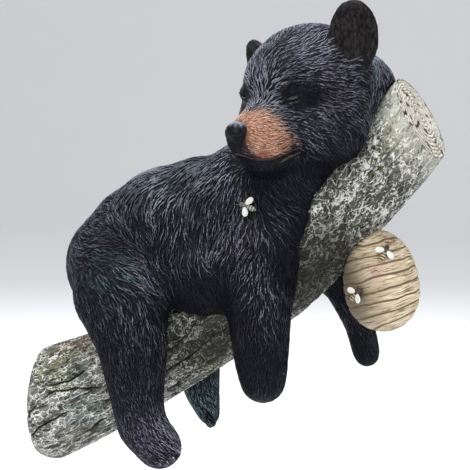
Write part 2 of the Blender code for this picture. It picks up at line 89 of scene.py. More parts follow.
# Which way the fur lies: for each part of the cub the length, width and height of a lock in millimetres, and places
# with the direction there. Body rows and head rows are each mirrored where the second name says so.
BODY_FLOW = {
    "torso": (15.0, 2.1, 0.95, True, (((-55, -23, 73), (0.55, -0.82, -0.15)), ((-60, -37, 55), (0.77, -0.63, -0.09)), ((-59, -47, 39), (0.92, -0.39, -0.01)), ((-56, -57, 26), (0.82, -0.56, -0.13)), ((-57, -62, 18), (0.57, -0.69, -0.44)), ((-62, -65, 8), (0.23, -0.40, -0.89)), ((-36, -55, 36), (0.98, -0.03, -0.21)), ((-22, -59, 27), (0.83, -0.07, -0.55)), ((-27, -71, 10), (0.77, 0.01, -0.64)), ((-38, -75, -3), (0.58, -0.02, -0.82)), ((-19, -53, 57), (0.43, -0.29, -0.85)), ((-7, -49, 74), (-0.24, -0.40, -0.89)), ((6, -36, 90), (-0.55, -0.60, -0.58)), ((29, -24, 106), (-0.59, -0.62, -0.52)), ((47, -43, 99), (-0.63, -0.15, -0.76)), ((18, -49, 66), (-0.25, -0.38, -0.89)), ((7, -56, 46), (-0.10, -0.04, -0.99)), ((28, -54, 42), (0.15, -0.38, -0.91)), ((50, -56, 67), (-0.19, -0.08, -0.98)), ((55, -64, 36), (-0.53, 0.33, -0.78)), ((43, -61, 19), (0.54, 0.03, -0.84)), ((21, -59, 5), (0.33, 0.25, -0.91)), ((-5, -59, 4), (0.56, 0.43, -0.71)), ((66, -53, 88), (-0.29, -0.08, -0.95)), ((81, -62, 61), (0.15, -0.63, -0.76)), ((74, -67, 53), (-0.04, -0.42, -0.90)), ((91, -64, 55), (0.29, -0.43, -0.85)), ((104, -54, 63), (0.74, 0.15, -0.66)), ((111, -50, 76), (0.73, 0.33, -0.60)), ((115, -51, 97), (0.46, 0.47, -0.75)), ((119, -46, 56), (0.43, 0.52, -0.74)), ((-14, -27, 95), (-0.84, -0.32, -0.44)), ((-36, -29, 83), (-0.47, -0.46, -0.75)), ((30, 0, 112), (-0.97, 0.0, 0.05)), ((60, 0, 120), (-0.9, 0.0, -0.3)), ((-70, 0, 70), (-0.4, 0.0, -0.9)), ((-92, 0, 25), (0.0, 0.0, -1.0)))),
    "near foreleg": (12.0, 2.0, 0.80, False, (((83, -73, 32), (-0.51, 0.03, -0.86)), ((93, -71, 24), (-0.18, -0.11, -0.98)), ((76, -73, 1), (-0.60, 0.25, -0.76)), ((100, -68, 9), (0.10, 0.02, -0.99)), ((88, -75, -15), (0.02, -0.09, -1.00)))),
    "hind leg": (12.0, 2.0, 0.80, True, (((-26, -74, -11), (0.39, -0.08, -0.92)), ((-43, -74, -20), (0.26, -0.03, -0.96)), ((-9, -72, -27), (0.24, -0.11, -0.96)), ((-26, -78, -47), (0.17, 0.07, -0.98)))),
    "feet": (6.5, 1.6, 0.38, False, (((93, -73, -39), (0.00, 0.02, -1.00)), ((78, -73, -36), (0.09, 0.03, -1.00)), ((90, -73, -62), (0.09, 0.05, -0.99)), ((-17, -77, -60), (0.12, 0.08, -0.99)), ((-13, -76, -93), (0.31, -0.01, -0.95)), ((0, -76, -113), (0.66, -0.12, -0.75)), ((16, -78, -126), (0.85, -0.21, -0.48)), ((12, 34, -84), (0.12, 0.24, -0.96)), ((14, 39, -107), (0.31, 0.28, -0.91)), ((148, 35, -29), (0.47, 0.18, -0.86)), ((159, 38, -51), (0.29, 0.09, -0.95)))),
    "far foreleg": (10.0, 1.9, 0.65, False, (((134, 28, -9), (0.64, 0.30, -0.71)), ((110, 70, 30), (0.3, 0.1, -0.95)))),
}
HEAD_FLOW = {
    "head": (9.5, 1.70, 0.70, True, (((35, 11, 46), (-0.73, 0.67, 0.15)), ((50, 1, 39), (-0.62, 0.52, 0.59)), ((57, -1, 27), (-0.35, 0.46, 0.82)), ((15, 15, 53), (-0.94, 0.29, 0.18)), ((24, 41, 33), (-0.78, 0.61, -0.17)), ((10, 55, 20), (-0.92, 0.31, -0.24)), ((-6, 58, 11), (-0.75, -0.03, -0.66)), ((20, 55, 6), (-0.83, 0.33, -0.46)), ((39, 48, -6), (-0.40, 0.69, -0.60)), ((28, 58, -14), (-0.56, 0.32, -0.77)), ((48, 40, -15), (-0.25, 0.81, -0.53)), ((24, 60, -25), (-0.35, 0.00, -0.94)), ((42, 45, -35), (-0.51, 0.09, -0.85)), ((41, 26, -49), (-0.47, -0.01, -0.88)), ((-38, 46, 10), (0.28, 0.47, -0.84)), ((-19, 55, 0), (0.59, 0.14, -0.79)), ((44, 32, 21), (-0.69, 0.72, -0.05)), ((34, 44, 15), (-0.71, 0.65, -0.25)), ((50, 34, 3), (-0.74, 0.56, -0.37)), ((53, 21, 20), (-0.59, 0.78, 0.19)), ((8, 45, 38), (-0.89, 0.42, 0.16)), ((55, 18, -45), (-0.42, -0.26, -0.87)), ((-52, 0, 20), (0.0, 0.0, -1.0)))),
    "muzzle": (6.4, 1.15, 0.34, True, (((77, 18, -9), (-0.65, 0.55, -0.53)), ((75, 9, 1), (-0.62, 0.79, 0.00)), ((65, 4, 8), (-0.83, 0.20, 0.52)), ((72, 22, -25), (-0.95, 0.30, 0.05)), ((66, 20, -33), (-0.93, 0.25, 0.26)), ((80, 13, -32), (-0.88, 0.45, 0.05)), ((85, 16, -22), (-0.64, 0.17, -0.75)), ((62, 26, -15), (-0.88, 0.40, -0.20)), ((67, 17, 1), (-0.76, 0.61, -0.22)), ((91, 9, -26), (-0.60, 0.70, -0.40)))),
}
# Toes of the hind feet: the middle toe, the step to the next, their radius, and the way the claws point.
TOES = {
    "near": ((6, -63, -132), (6.4, -4.8, 2.0), 7.6, (0.62, -0.35, -0.70)),
    "far": ((13, 50, -120), (3.6, -4.2, -4.2), 6.2, (0.35, -0.25, -0.90)),
}

# Where the brushing fades into shade (place, reach, share that is left), and where it turns teal or purple, in metres.
SHADES = (
    ((0.165, -0.060, 0.105), (0.045, 0.050, 0.034), 0.06),
    ((0.245, -0.060, 0.150), (0.030, 0.050, 0.040), 0.25),
    ((0.150, 0.000, 0.080), (0.080, 0.050, 0.035), 0.20),
    ((0.090, -0.075, 0.050), (0.030, 0.040, 0.040), 0.55),
    ((0.215, -0.080, 0.060), (0.030, 0.040, 0.022), 0.60),
)
# Where it is brushed more: place, reach, how much more.
LIGHTS = (((0.136, 0.039, -0.004), 0.034, 0.95), ((0.126, -0.076, -0.012), 0.030, 0.35), ((0.215, -0.085, 0.125), 0.025, 0.20), ((0.104, -0.077, 0.049), 0.030, 0.15))
TEAL = (((0.136, 0.040, 0.000), 0.045), ((0.075, -0.060, 0.130), 0.026), ((0.190, -0.090, 0.120), 0.020), ((0.130, -0.065, 0.105), 0.020))
PURPLE = (((0.045, -0.060, 0.090), 0.030), ((0.205, -0.090, 0.095), 0.022), ((0.270, -0.070, 0.280), 0.025), ((0.115, -0.070, -0.010), 0.030), ((0.200, -0.070, 0.170), 0.018))

# Washes over the bark: place, reach, colour, strength.
BARK_STAINS = (
    ((0.024, -0.031, 0.045), 0.036, (0.150, 0.155, 0.060), 1.0),
    ((0.034, -0.014, 0.060), 0.024, (0.160, 0.080, 0.045), 0.90),
    ((0.045, -0.020, 0.062), 0.016, (0.180, 0.100, 0.055), 0.55),
    ((0.045, -0.038, 0.042), 0.016, (0.120, 0.165, 0.160), 0.65),
    ((0.050, -0.040, 0.004), 0.026, (0.110, 0.165, 0.150), 0.90),
    ((0.164, -0.022, 0.052), 0.028, (0.110, 0.130, 0.035), 1.0),
    ((0.165, -0.036, 0.078), 0.016, (0.200, 0.195, 0.180), 0.60),
    ((0.306, -0.027, 0.258), 0.018, (0.200, 0.270, 0.170), 0.70),
    ((0.320, -0.026, 0.262), 0.016, (0.560, 0.560, 0.480), 0.70),
    ((0.314, -0.035, 0.243), 0.016, (0.330, 0.270, 0.150), 0.70),
    ((0.326, -0.025, 0.213), 0.014, (0.170, 0.130, 0.130), 0.65),
    ((0.262, -0.036, 0.150), 0.018, (0.160, 0.085, 0.060), 0.55),
)
# Painted shadow on the bark, mixed with darker brown paint, beside the hive and under the cub's belly: place, reach,
# strength.
BARK_SHADE = (((0.252, -0.031, 0.130), 0.052, 1.0), ((0.235, -0.030, 0.110), 0.046, 0.90), ((0.262, -0.032, 0.152), 0.034, 0.70), ((0.152, -0.036, 0.062), 0.044, 0.85), ((0.173, -0.034, 0.068), 0.036, 0.75), ((0.055, -0.046, -0.022), 0.016, 0.35))
# How many long cracks run along the bark.
CRACKS = 15
# Where the hind feet's claws come out, and the way they point.
CLAWS = {
    "near": (((7.5, -73.7, -138.0), (13.6, -73.8, -135.6), (20.2, -77.5, -131.0), (24.0, -75.5, -126.6), (21.6, -60.0, -127.3)), (0.55, -0.30, -0.78)),
    "far": (((11.4, 39.3, -109.9), (15.2, 41.0, -113.2), (18.0, 42.3, -116.6), (20.8, 44.4, -120.6), (23.4, 50.0, -127.0)), (0.50, -0.30, -0.80)),
}

HIVE_HEIGHT, HIVE_DIAMETER, HIVE_AT, HIVE_SUNK, HIVE_SIDE, HIVE_LEAN, HIVE_WRAPS = 0.0850, 0.0630, 0.762, 0.0096, -0.0050, math.radians(-9), 9
BEE_SIZE, BEE_SPAN = 0.0150, 0.0190


class SculptureFur(PropertyGroup):
    """The cub's carved fur"""

    grain: FloatProperty(name="Skin grain", description="Spacing of the points of the skin under the fur", default=0.0019, min=0.001, subtype="DISTANCE", unit="LENGTH")
    crowding: FloatProperty(name="Crowding", description="How closely the locks lie, as a share of a lock's own length and width", default=0.50, min=0.2)
    waviness: FloatProperty(name="Waviness", description="How far the locks wander from the lie of the fur", default=0.26, min=0.0, subtype="ANGLE", unit="ROTATION")
    seed: IntProperty(name="Seed", description="Where the locks happen to lie", default=7)
    groove: FloatVectorProperty(name="Groove colour", description="Paint between the locks", default=(0.0026, 0.0028, 0.0050), subtype="COLOR", min=0, max=1)
    brushed: FloatVectorProperty(name="Brushed colour", description="Dry-brushed paint on the locks' ridges", default=(0.330, 0.338, 0.420), subtype="COLOR", min=0, max=1)
    brushed_warm: FloatVectorProperty(name="Second brushed colour", description="Dry-brushed paint where it turns purple", default=(0.320, 0.280, 0.405), subtype="COLOR", min=0, max=1)
    brushed_green: FloatVectorProperty(name="Third brushed colour", description="Dry-brushed paint where it turns green", default=(0.150, 0.240, 0.265), subtype="COLOR", min=0, max=1)
    muzzle: FloatVectorProperty(name="Muzzle colour", description="Paint on the muzzle", default=(0.660, 0.375, 0.268), subtype="COLOR", min=0, max=1)
    muzzle_light: FloatVectorProperty(name="Muzzle stroke colour", description="Fine light strokes on the muzzle", default=(0.92, 0.69, 0.56), subtype="COLOR", min=0, max=1)


class SculptureBark(PropertyGroup):
    """The branch's bark and its sawn end"""

    rings: IntProperty(name="Points along", description="Rows of points along the branch", default=330, min=60)
    sides: IntProperty(name="Points around", description="Points around the branch", default=216, min=32)
    crack_depth: FloatProperty(name="Crack depth", description="Deepest crack between the plates", default=0.0034, min=0, subtype="DISTANCE", unit="LENGTH")
    ridge_height: FloatProperty(name="Ridge height", description="Height of the crumpled ridges on the plates", default=0.0011, min=0, subtype="DISTANCE", unit="LENGTH")
    dark: FloatVectorProperty(name="Crack colour", description="Paint in the cracks", default=(0.018, 0.019, 0.015), subtype="COLOR", min=0, max=1)
    plate: FloatVectorProperty(name="Plate colour", description="Paint on the plates", default=(0.185, 0.185, 0.168), subtype="COLOR", min=0, max=1)
    pale: FloatVectorProperty(name="Ridge colour", description="Dry-brushed paint on the ridges", default=(0.74, 0.73, 0.68), subtype="COLOR", min=0, max=1)
    moss: FloatVectorProperty(name="Moss colour", description="Green washed over the bark", default=(0.060, 0.078, 0.024), subtype="COLOR", min=0, max=1)
    wood: FloatVectorProperty(name="Sawn wood colour", description="Paint on the sawn end", default=(0.93, 0.91, 0.85), subtype="COLOR", min=0, max=1)


class SculptureHive(PropertyGroup):
    """The wound hive"""

    groove_depth: FloatProperty(name="Groove depth", description="How deep the grooves between the wraps are", default=0.0009, min=0, subtype="DISTANCE", unit="LENGTH")
    door: FloatProperty(name="Door", description="Radius of the hive's door", default=0.0018, min=0.0005, subtype="DISTANCE", unit="LENGTH")
    straw: FloatVectorProperty(name="Straw colour", description="Paint on the wraps", default=(0.64, 0.53, 0.37), subtype="COLOR", min=0, max=1)
    groove: FloatVectorProperty(name="Groove colour", description="Wash in the grooves", default=(0.115, 0.075, 0.030), subtype="COLOR", min=0, max=1)


class SculptureBees(PropertyGroup):
    """The three bees"""

    dark: FloatVectorProperty(name="Dark colour", description="Dark bands, head and legs", default=(0.050, 0.024, 0.013), subtype="COLOR", min=0, max=1)
    band: FloatVectorProperty(name="Band colour", description="Light bands of the body", default=(0.50, 0.40, 0.24), subtype="COLOR", min=0, max=1)
    wing: FloatVectorProperty(name="Wing colour", description="Paint on the wings", default=(0.66, 0.65, 0.61), subtype="COLOR", min=0, max=1)


class SculptureStage(PropertyGroup):
    """Camera, floor and light"""

    target: FloatVectorProperty(name="Aim", description="Point that the camera looks at", default=(0.1734, 0.0, 0.1540), subtype="TRANSLATION", unit="LENGTH")
    eye: FloatVectorProperty(name="Camera", description="Place of the camera", default=(0.4862, -1.2545, 0.2899), subtype="TRANSLATION", unit="LENGTH")
    lens: FloatProperty(name="Lens", description="Focal length on a 36 mm wide image", default=117.1, min=1, subtype="DISTANCE_CAMERA")
    drop: FloatProperty(name="Floor drop", description="How far the floor lies under the lowest point", default=0.16, min=0, subtype="DISTANCE", unit="LENGTH")
    floor: FloatVectorProperty(name="Floor colour", description="Colour of the floor and the backdrop", default=(0.93, 0.93, 0.93), subtype="COLOR", min=0, max=1)


# Working with Blender's own tools


def deselect():
    if bpy.context.object and bpy.context.object.mode != "OBJECT":
        bpy.ops.object.mode_set(mode="OBJECT")
    bpy.ops.object.select_all(action="DESELECT")


def take(obj):
    deselect()
    obj.select_set(True)
    bpy.context.view_layer.objects.active = obj
    return obj


def named(name):
    """Names the object that a primitive operator has just added."""
    obj = bpy.context.object
    obj.name = obj.data.name = name
    return obj


def finish_with(obj, kind, **settings):
    """Adds a modifier with these settings and applies it."""
    take(obj)
    modifier = obj.modifiers.new(kind.title(), kind)
    for name, value in settings.items():
        setattr(modifier, name, value)
    bpy.ops.object.modifier_apply(modifier=modifier.name)


def merge(obj, distance, outwards=True):
    take(obj)
    bpy.ops.object.mode_set(mode="EDIT")
    bpy.ops.mesh.select_all(action="SELECT")
    bpy.ops.mesh.remove_doubles(threshold=distance)
    if outwards:
        bpy.ops.mesh.normals_make_consistent(inside=False)
    bpy.ops.object.mode_set(mode="OBJECT")


def settle(obj, matrix=None):
    """Puts the object's place into its mesh."""
    take(obj)
    if matrix is not None:
        obj.matrix_world = matrix @ obj.matrix_world
    bpy.ops.object.transform_apply(location=True, rotation=True, scale=True)
    return obj


def join(objects, name):
    deselect()
    for obj in objects:
        obj.select_set(True)
    bpy.context.view_layer.objects.active = objects[0]
    bpy.ops.object.join()
    return named(name)


def copy_of(obj, name):
    made = bpy.data.objects.new(name, obj.data.copy())
    made.data.name = name
    bpy.context.scene.collection.objects.link(made)
    return made


def points_of(mesh):
    flat = np.empty(len(mesh.vertices) * 3, np.float32)
    mesh.vertices.foreach_get("co", flat)
    return flat.reshape(-1, 3).astype(float)


def normals_of(mesh):
    flat = np.empty(len(mesh.vertices) * 3, np.float32)
    mesh.vertex_normals.foreach_get("vector", flat)
    return flat.reshape(-1, 3).astype(float)


def set_points(mesh, points):
    mesh.vertices.foreach_set("co", np.asarray(points, np.float32).ravel())
    mesh.update()


def store(mesh, name, values):
    """Keeps a number for each point, for the paint to read."""
    attribute = mesh.attributes.new(name, "FLOAT", "POINT")
    attribute.data.foreach_set("value", np.asarray(values, np.float32))


def store_vectors(mesh, name, values):
    attribute = mesh.attributes.new(name, "FLOAT_VECTOR", "POINT")
    attribute.data.foreach_set("vector", np.asarray(values, np.float32).ravel())


def surface_of(mesh):
    return BVHTree.FromPolygons([v.co.copy() for v in mesh.vertices], [p.vertices[:] for p in mesh.polygons])


def dress(obj, paint, node):
    """Gives a finished piece its paint and smooth shading, puts it on the root body and hides the solid it stands for.
    """
    obj.data.materials.clear()
    obj.data.materials.append(paint)
    take(obj)
    bpy.ops.object.shade_smooth()
    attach(obj, "root")
    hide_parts(node)
    return obj


def soft_step(low, high, values):
    share = np.clip((np.asarray(values, float) - low) / (high - low), 0, 1)
    return share * share * (3 - 2 * share)


def ripple(points, scale, shift=0.0):
    """Smooth noise from -1 to 1 at each point, with features about 1 / scale wide."""
    return np.array([noise.noise(Vector(p) * scale + Vector((shift, -shift, 2 * shift))) for p in points])


def within(matrix, points):
    """The points as seen from a matrix's own axes."""
    turned = np.array(matrix.inverted())
    return points @ turned[:3, :3].T + turned[:3, 3]


# Where things are


def branch_point(t):
    middle = Vector((REACH / 2, 0, math.tan(ROOT_SLOPE) * REACH / 2))
    return 2 * t * (1 - t) * middle + t * t * Vector((REACH, 0, RISE))


def branch_direction(t):
    return (branch_point(t + 1e-3) - branch_point(t - 1e-3)).normalized()


def branch_up(t):
    along = branch_direction(t)
    return Vector((-along.z, 0, along.x))


def branch_radius(t):
    flare = ROOT_FLARE * max(0.0, 1 - 2.6 * t) ** 2 if t > 0 else ROOT_FLARE
    swell = SWELL * math.exp(-((t - SWELL_PLACE) / SWELL_REACH) ** 2)
    return ROOT_RADIUS + (TIP_RADIUS - ROOT_RADIUS) * t + flare + swell


def cub_matrix():
    along = branch_direction(SADDLE)
    seat = branch_point(SADDLE) + branch_up(SADDLE) * branch_radius(SADDLE)
    return Matrix.Translation(seat) @ Matrix.Rotation(math.radians(35.5) - math.atan2(along.z, along.x), 4, "Y") @ Matrix.Scale(0.001, 4)


def head_matrix():
    return cub_matrix() @ Matrix.Translation(HEAD_PLACE) @ Matrix.Rotation(HEAD_TURN, 4, "Z") @ Matrix.Rotation(HEAD_NOD, 4, "Y")


def ear_matrix(side):
    place, _, turn, tilt = EARS[side]
    return head_matrix() @ Matrix.Translation(place) @ Matrix.Rotation(side * turn, 4, "Z") @ Matrix.Rotation(side * tilt, 4, "X")


def hive_place():
    down = -branch_up(HIVE_AT)
    reach = math.hypot(HIVE_DIAMETER / 2 * down.x, HIVE_HEIGHT / 2 * down.z)
    return branch_point(HIVE_AT) + down * (branch_radius(HIVE_AT) + reach - HIVE_SUNK) + Vector((0, HIVE_SIDE, 0))


# Paint


class Amount:
    """A number, colour or vector that varies over a surface. Arithmetic on it adds the nodes that work it out."""

    def __init__(self, paint, socket):
        self.paint, self.socket = paint, socket

    def maths(self, operation, *values):
        return self.paint.add("ShaderNodeMath", {"operation": operation}, dict(enumerate(values)))

    def __add__(self, other):
        return self.maths("ADD", self, other)

    def __radd__(self, other):
        return self.maths("ADD", other, self)

    def __sub__(self, other):
        return self.maths("SUBTRACT", self, other)

    def __rsub__(self, other):
        return self.maths("SUBTRACT", other, self)

    def __mul__(self, other):
        return self.maths("MULTIPLY", self, other)

    def __rmul__(self, other):
        return self.maths("MULTIPLY", other, self)

    def __pow__(self, other):
        return self.maths("POWER", self, other)

    def step(self, low, high):
        """0 below low, 1 above high and smooth between them, either way round."""
        return self.paint.add("ShaderNodeMapRange", {"interpolation_type": "SMOOTHSTEP"}, {"Value": self, "From Min": low, "From Max": high})


class Paint:
    """A material in the making."""

    def __init__(self, name, roughness, **constants):
        self.material = bpy.data.materials.new(name)
        self.material.use_nodes = True
        self.tree = self.material.node_tree
        self.shader = self.tree.nodes["Principled BSDF"]
        self.finish("Roughness", roughness)
        for socket, value in constants.items():
            self.finish(socket.replace("_", " "), value)

    def link(self, value, socket):
        if isinstance(value, Amount):
            self.tree.links.new(value.socket, socket)
        else:
            socket.default_value = (*value, 1) if socket.type == "RGBA" and len(value) == 3 else value

    def finish(self, socket, value):
        self.link(value, self.shader.inputs[socket])

    def add(self, kind, settings, sockets, out=0):
        """Adds a node: its settings first, then the values or links of its sockets."""
        node = self.tree.nodes.new(kind)
        for name, value in settings.items():
            if name == "stops":
                while len(node.color_ramp.elements) < len(value):
                    node.color_ramp.elements.new(0.5)
                for element, (place, colour) in zip(node.color_ramp.elements, value):
                    element.position, element.color = place, (*colour, 1)
            else:
                setattr(node, name, value)
        for name, value in sockets.items():
            self.link(value, node.inputs[name])
        return Amount(self, node.outputs[out])

    def place(self):
        return self.add("ShaderNodeTexCoord", {}, {}, "Object")

    def kept(self, name, out="Fac"):
        """What the mesh keeps for each point under this name."""
        return self.add("ShaderNodeAttribute", {"attribute_name": name}, {}, out)

    def stretched(self, vector, scale):
        return self.add("ShaderNodeVectorMath", {"operation": "MULTIPLY"}, {0: vector, 1: scale})

    def shifted(self, vector, by):
        return self.add("ShaderNodeVectorMath", {"operation": "ADD"}, {0: vector, 1: by})

    def cloud(self, vector, scale, detail=2.0, rough=0.5, out="Fac"):
        return self.add("ShaderNodeTexNoise", {}, {"Vector": vector, "Scale": scale, "Detail": detail, "Roughness": rough}, out)

    def net(self, vector, scale):
        """Distance from the nearest edge between cells."""
        return self.add("ShaderNodeTexVoronoi", {"feature": "DISTANCE_TO_EDGE"}, {"Vector": vector, "Scale": scale}, "Distance")

    def mix(self, share, first, second):
        return self.add("ShaderNodeMix", {"data_type": "RGBA"}, {0: share, 6: first, 7: second}, 2)

    def near(self, vector, centre, radius):
        """1 at the centre, 0 from the radius on."""
        apart = self.add("ShaderNodeVectorMath", {"operation": "DISTANCE"}, {0: vector, 1: centre}, "Value")
        return apart.step(radius, 0.35 * radius)

    def bump(self, height, distance, strength=1.0):
        return self.add("ShaderNodeBump", {}, {"Height": height, "Distance": distance, "Strength": strength})

    def upward(self):
        """1 where the surface faces up, 0 where it faces down."""
        normal = self.add("ShaderNodeNewGeometry", {}, {}, "Normal")
        return self.add("ShaderNodeSeparateXYZ", {}, {0: normal}, "Z") * 0.5 + 0.5


def fur_paint(fur, name):
    """Black paint with dry-brushed ridges, brushed more on upward locks as a painted top light and less in painted
    shade, a painted sky sheen on upward faces, and the muzzle's tan with fine light strokes.
    """
    paint = Paint(name, 0.45, Specular_IOR_Level=0.07)
    place = paint.place()
    ridge = paint.kept("ridge")
    # brush: how much each lock is dry-brushed, raised on upward-facing locks as a painted top light and lowered as
    # painted shade under the jaw, on the throat, round the eyes and in the shaded places.
    brush = paint.kept("brush")
    tan = paint.kept("tan")
    streak = paint.cloud(place, 700.0, 3.0, 0.6)
    brushed = paint.mix(paint.kept("purple"), fur.brushed, fur.brushed_warm)
    brushed = paint.mix(paint.kept("teal"), brushed, fur.brushed_green)
    amount = (ridge ** 2.9) * brush * (streak.step(0.25, 0.70) * 1.2 + 0.2)
    # A painted sky sheen: lighter blue-grey on upward faces and on the brow and near hind foot, in patches.
    painted_sky_sheen = (paint.upward().step(0.58, 0.96) * 0.50 + paint.kept("haze") * 0.9) * paint.cloud(place, 30.0, 3.0).step(0.30, 0.58)
    coat = paint.mix(ridge * 0.5, fur.groove, (0.009, 0.009, 0.015))
    coat = paint.mix(painted_sky_sheen.step(0.0, 1.0) * 0.85, coat, (0.175, 0.198, 0.225))
    coat = paint.mix(amount.step(0.0, 1.0), coat, brushed)
    fine = paint.cloud(place, 1300.0, 2.0)
    snout = paint.mix((ridge * (fine * 0.9 + 0.5)).step(0.22, 0.90), (0.190, 0.085, 0.052), fur.muzzle)
    # The light strokes are stronger on upward faces: partly a painted highlight.
    snout = paint.mix((ridge ** 2.5) * fine.step(0.38, 0.60) * (0.25 + paint.upward().step(-0.1, 0.6) * 0.75), snout, fur.muzzle_light)
    blotch = paint.cloud(place, 130.0, 2.0).step(0.42, 0.66)
    snout = paint.mix(blotch * 0.25, snout, (0.300, 0.140, 0.080))
    snout = paint.mix(paint.near(place, tuple(head_matrix() @ Vector((80, 14, -35))), 0.013) * 0.75, snout, (0.215, 0.070, 0.050))
    snout = paint.mix(paint.near(place, tuple(head_matrix() @ Vector((60, 27, -33))), 0.016) * 0.60, snout, (0.190, 0.080, 0.045))
    paint.finish("Base Color", paint.mix(tan, coat, snout))
    paint.finish("Roughness", 0.40 + amount * 0.25 + tan * 0.18)
    paint.finish("Normal", paint.bump(streak, 0.0003, 0.35))
    return paint.material


def skin_paint(fur, name):
    """The same paint on the smooth skin between and beside the locks, and in the ears."""
    paint = Paint(name, 0.5, Specular_IOR_Level=0.08)
    place = paint.place()
    tan = paint.kept("tan")
    ear = paint.kept("ear")
    fine = paint.cloud(paint.stretched(place, (1.0, 1.0, 0.45)), 520.0, 3.0, 0.6)
    # Lighter blue-grey flecks on the skin, stronger on upward faces: a painted sheen.
    dark = paint.mix(fine.step(0.45, 0.72) * 0.35 * paint.upward(), fur.groove, (0.06, 0.065, 0.085))
    dark = paint.mix(ear, dark, paint.mix(fine.step(0.35, 0.70), (0.0030, 0.0024, 0.0026), (0.026, 0.021, 0.023)))
    snout = paint.mix(fine.step(0.4, 0.7), (0.150, 0.062, 0.036), (0.340, 0.170, 0.105))
    snout = paint.mix(paint.near(place, tuple(head_matrix() @ Vector((60, 24, -34))), 0.020), snout, (0.045, 0.022, 0.014))
    snout = paint.mix(paint.near(place, tuple(head_matrix() @ Vector((84, 8, -35))), 0.016) * 0.8, snout, (0.070, 0.022, 0.016))
    paint.finish("Base Color", paint.mix(tan, dark, snout))
    paint.finish("Roughness", 0.42 + fine * 0.18)
    paint.finish("Normal", paint.bump(fine, 0.0005, 0.5))
    return paint.material


# The cub


def guides():
    """Places, directions, sizes and parts of the fur's lie, in the cub's millimetres."""
    rows = []
    into_cub = cub_matrix().inverted() @ head_matrix()
    parts = list(BODY_FLOW) + list(HEAD_FLOW)
    for table, matrix in ((BODY_FLOW, Matrix.Identity(4)), (HEAD_FLOW, into_cub)):
        for part, (length, width, height, mirrored, places) in table.items():
            for at, way in places:
                for side in (1, -1) if mirrored else (1,):
                    if side == -1 and part == "hind leg" and at[2] < -40:
                        continue
                    at_side = matrix @ Vector((at[0], side * at[1], at[2]))
                    way_side = matrix.to_3x3() @ Vector((way[0], side * way[1], way[2]))
                    rows.append((*at_side, *way_side.normalized(), length, width, height, parts.index(part)))
    return np.array(rows), parts


def lie(points, rows):
    """Direction, length, width and height of the fur at points in the cub's millimetres."""
    apart = ((points[:, None, :] - rows[None, :, :3]) ** 2).sum(axis=2)
    share = 1 / (apart + 60.0) ** 2
    share /= share.sum(axis=1, keepdims=True)
    return share @ rows[:, 3:6], share @ rows[:, 6:9], rows[share.argmax(axis=1), 9].astype(int)


def tan_share(points):
    """1 on the tan part of the muzzle, in the head's millimetres."""
    x, y, z = points.T
    across = np.abs(y)
    edge = 64.4 + 0.31 * z + 7.0 * np.exp(-((across / 6) ** 2)) + 1.6 * ripple(points, 0.12)
    mouth = np.interp(x, (50, 56, 64, 70, 79, 84, 90), (-27, -29.5, -33.5, -36, -36.5, -34, -27))
    lips = soft_step(mouth + 0.2, mouth + 2.4, z)
    front = soft_step(90.0 - 0.05 * across ** 1.2, 94.0 - 0.05 * across ** 1.2, x) * soft_step(-7, -12, z)
    under_nose = soft_step(8.5, 5.0, across) * soft_step(-10, -14, z) * soft_step(80, 85, x)
    near = (((points - np.array((62, 0, -16))) / np.array((42, 34, 30))) ** 2).sum(axis=1) < 1
    return soft_step(edge - 2.5, edge + 10.5, x) * lips * (1 - np.maximum(front, under_nose)) * near


def ear_share(points):
    """1 on the ears, in world metres."""
    found = np.zeros(len(points))
    for side in EARS:
        thick, wide, high = EARS[side][1]
        inside = within(ear_matrix(side), points)
        reach = np.sqrt((inside[:, 0] / (thick + 5)) ** 2 + (inside[:, 1] / (wide + 3)) ** 2 + (inside[:, 2] / (high + 3)) ** 2)
        found = np.maximum(found, soft_step(1.06, 0.94, reach) * soft_step(-0.62 * high, -0.42 * high, inside[:, 2]))
    return found


def bare(points):
    """Where no locks grow: the ears, the nose, the eyelids, the lips, the toes and what touches the branch."""
    on_head = within(head_matrix(), points)
    mirrored = on_head * np.array((1, np.nan, 1))
    mirrored[:, 1] = np.abs(on_head[:, 1])
    found = ear_share(points) > 0.4
    nose = (on_head - np.array(NOSE)) / (np.array(NOSE_SIZE) + 0.8)
    found |= (nose ** 2).sum(axis=1) < 1
    found |= (((mirrored - np.array(EYE)) / np.array((8.0, 8.5, 4.2))) ** 2).sum(axis=1) < 1
    found |= (mirrored[:, 1] < 6) & (mirrored[:, 0] > 86) & (mirrored[:, 2] < -16) & (mirrored[:, 2] > -34)
    for line, reach in ((MOUTH, 3.2), (LOWER_LIP, 2.4)):
        for first, second in zip(line, line[1:]):
            for share in (0, 0.5, 1):
                place = np.array(first) * (1 - share) + np.array(second) * share
                found |= ((mirrored - place) ** 2).sum(axis=1) < reach ** 2
    on_cub = within(cub_matrix(), points)
    for middle, step, radius, way in TOES.values():
        for i in (-2, -1, 0, 1, 2):
            place = np.array(middle) + i * np.array(step)
            apart = on_cub - place
            found |= ((apart ** 2).sum(axis=1) < (1.25 * radius) ** 2) & (apart @ np.array(way) > 0.15 * radius)
    for t in np.linspace(-0.1, 1.1, 61).tolist():
        found |= ((points - np.array(branch_point(t))) ** 2).sum(axis=1) < (branch_radius(t) + 0.0008) ** 2
    return found


def scattered(points, spacing, seed):
    """Picks points at random so that no two are closer than the spacing there."""
    order = np.random.default_rng(seed).permutation(len(points))
    cell = float(spacing.max())
    grid, kept = {}, []
    for i in order:
        p = points[i]
        key = (int(p[0] // cell), int(p[1] // cell), int(p[2] // cell))
        reach = spacing[i] ** 2
        free = True
        for dx in (-1, 0, 1):
            for dy in (-1, 0, 1):
                for dz in (-1, 0, 1):
                    for q in grid.get((key[0] + dx, key[1] + dy, key[2] + dz), ()):
                        if (p[0] - q[0]) ** 2 + (p[1] - q[1]) ** 2 + (p[2] - q[2]) ** 2 < reach:
                            free = False
                            break
                    if not free:
                        break
                if not free:
                    break
            if not free:
                break
        if free:
            grid.setdefault(key, []).append((p[0], p[1], p[2]))
            kept.append(i)
    return np.array(kept)


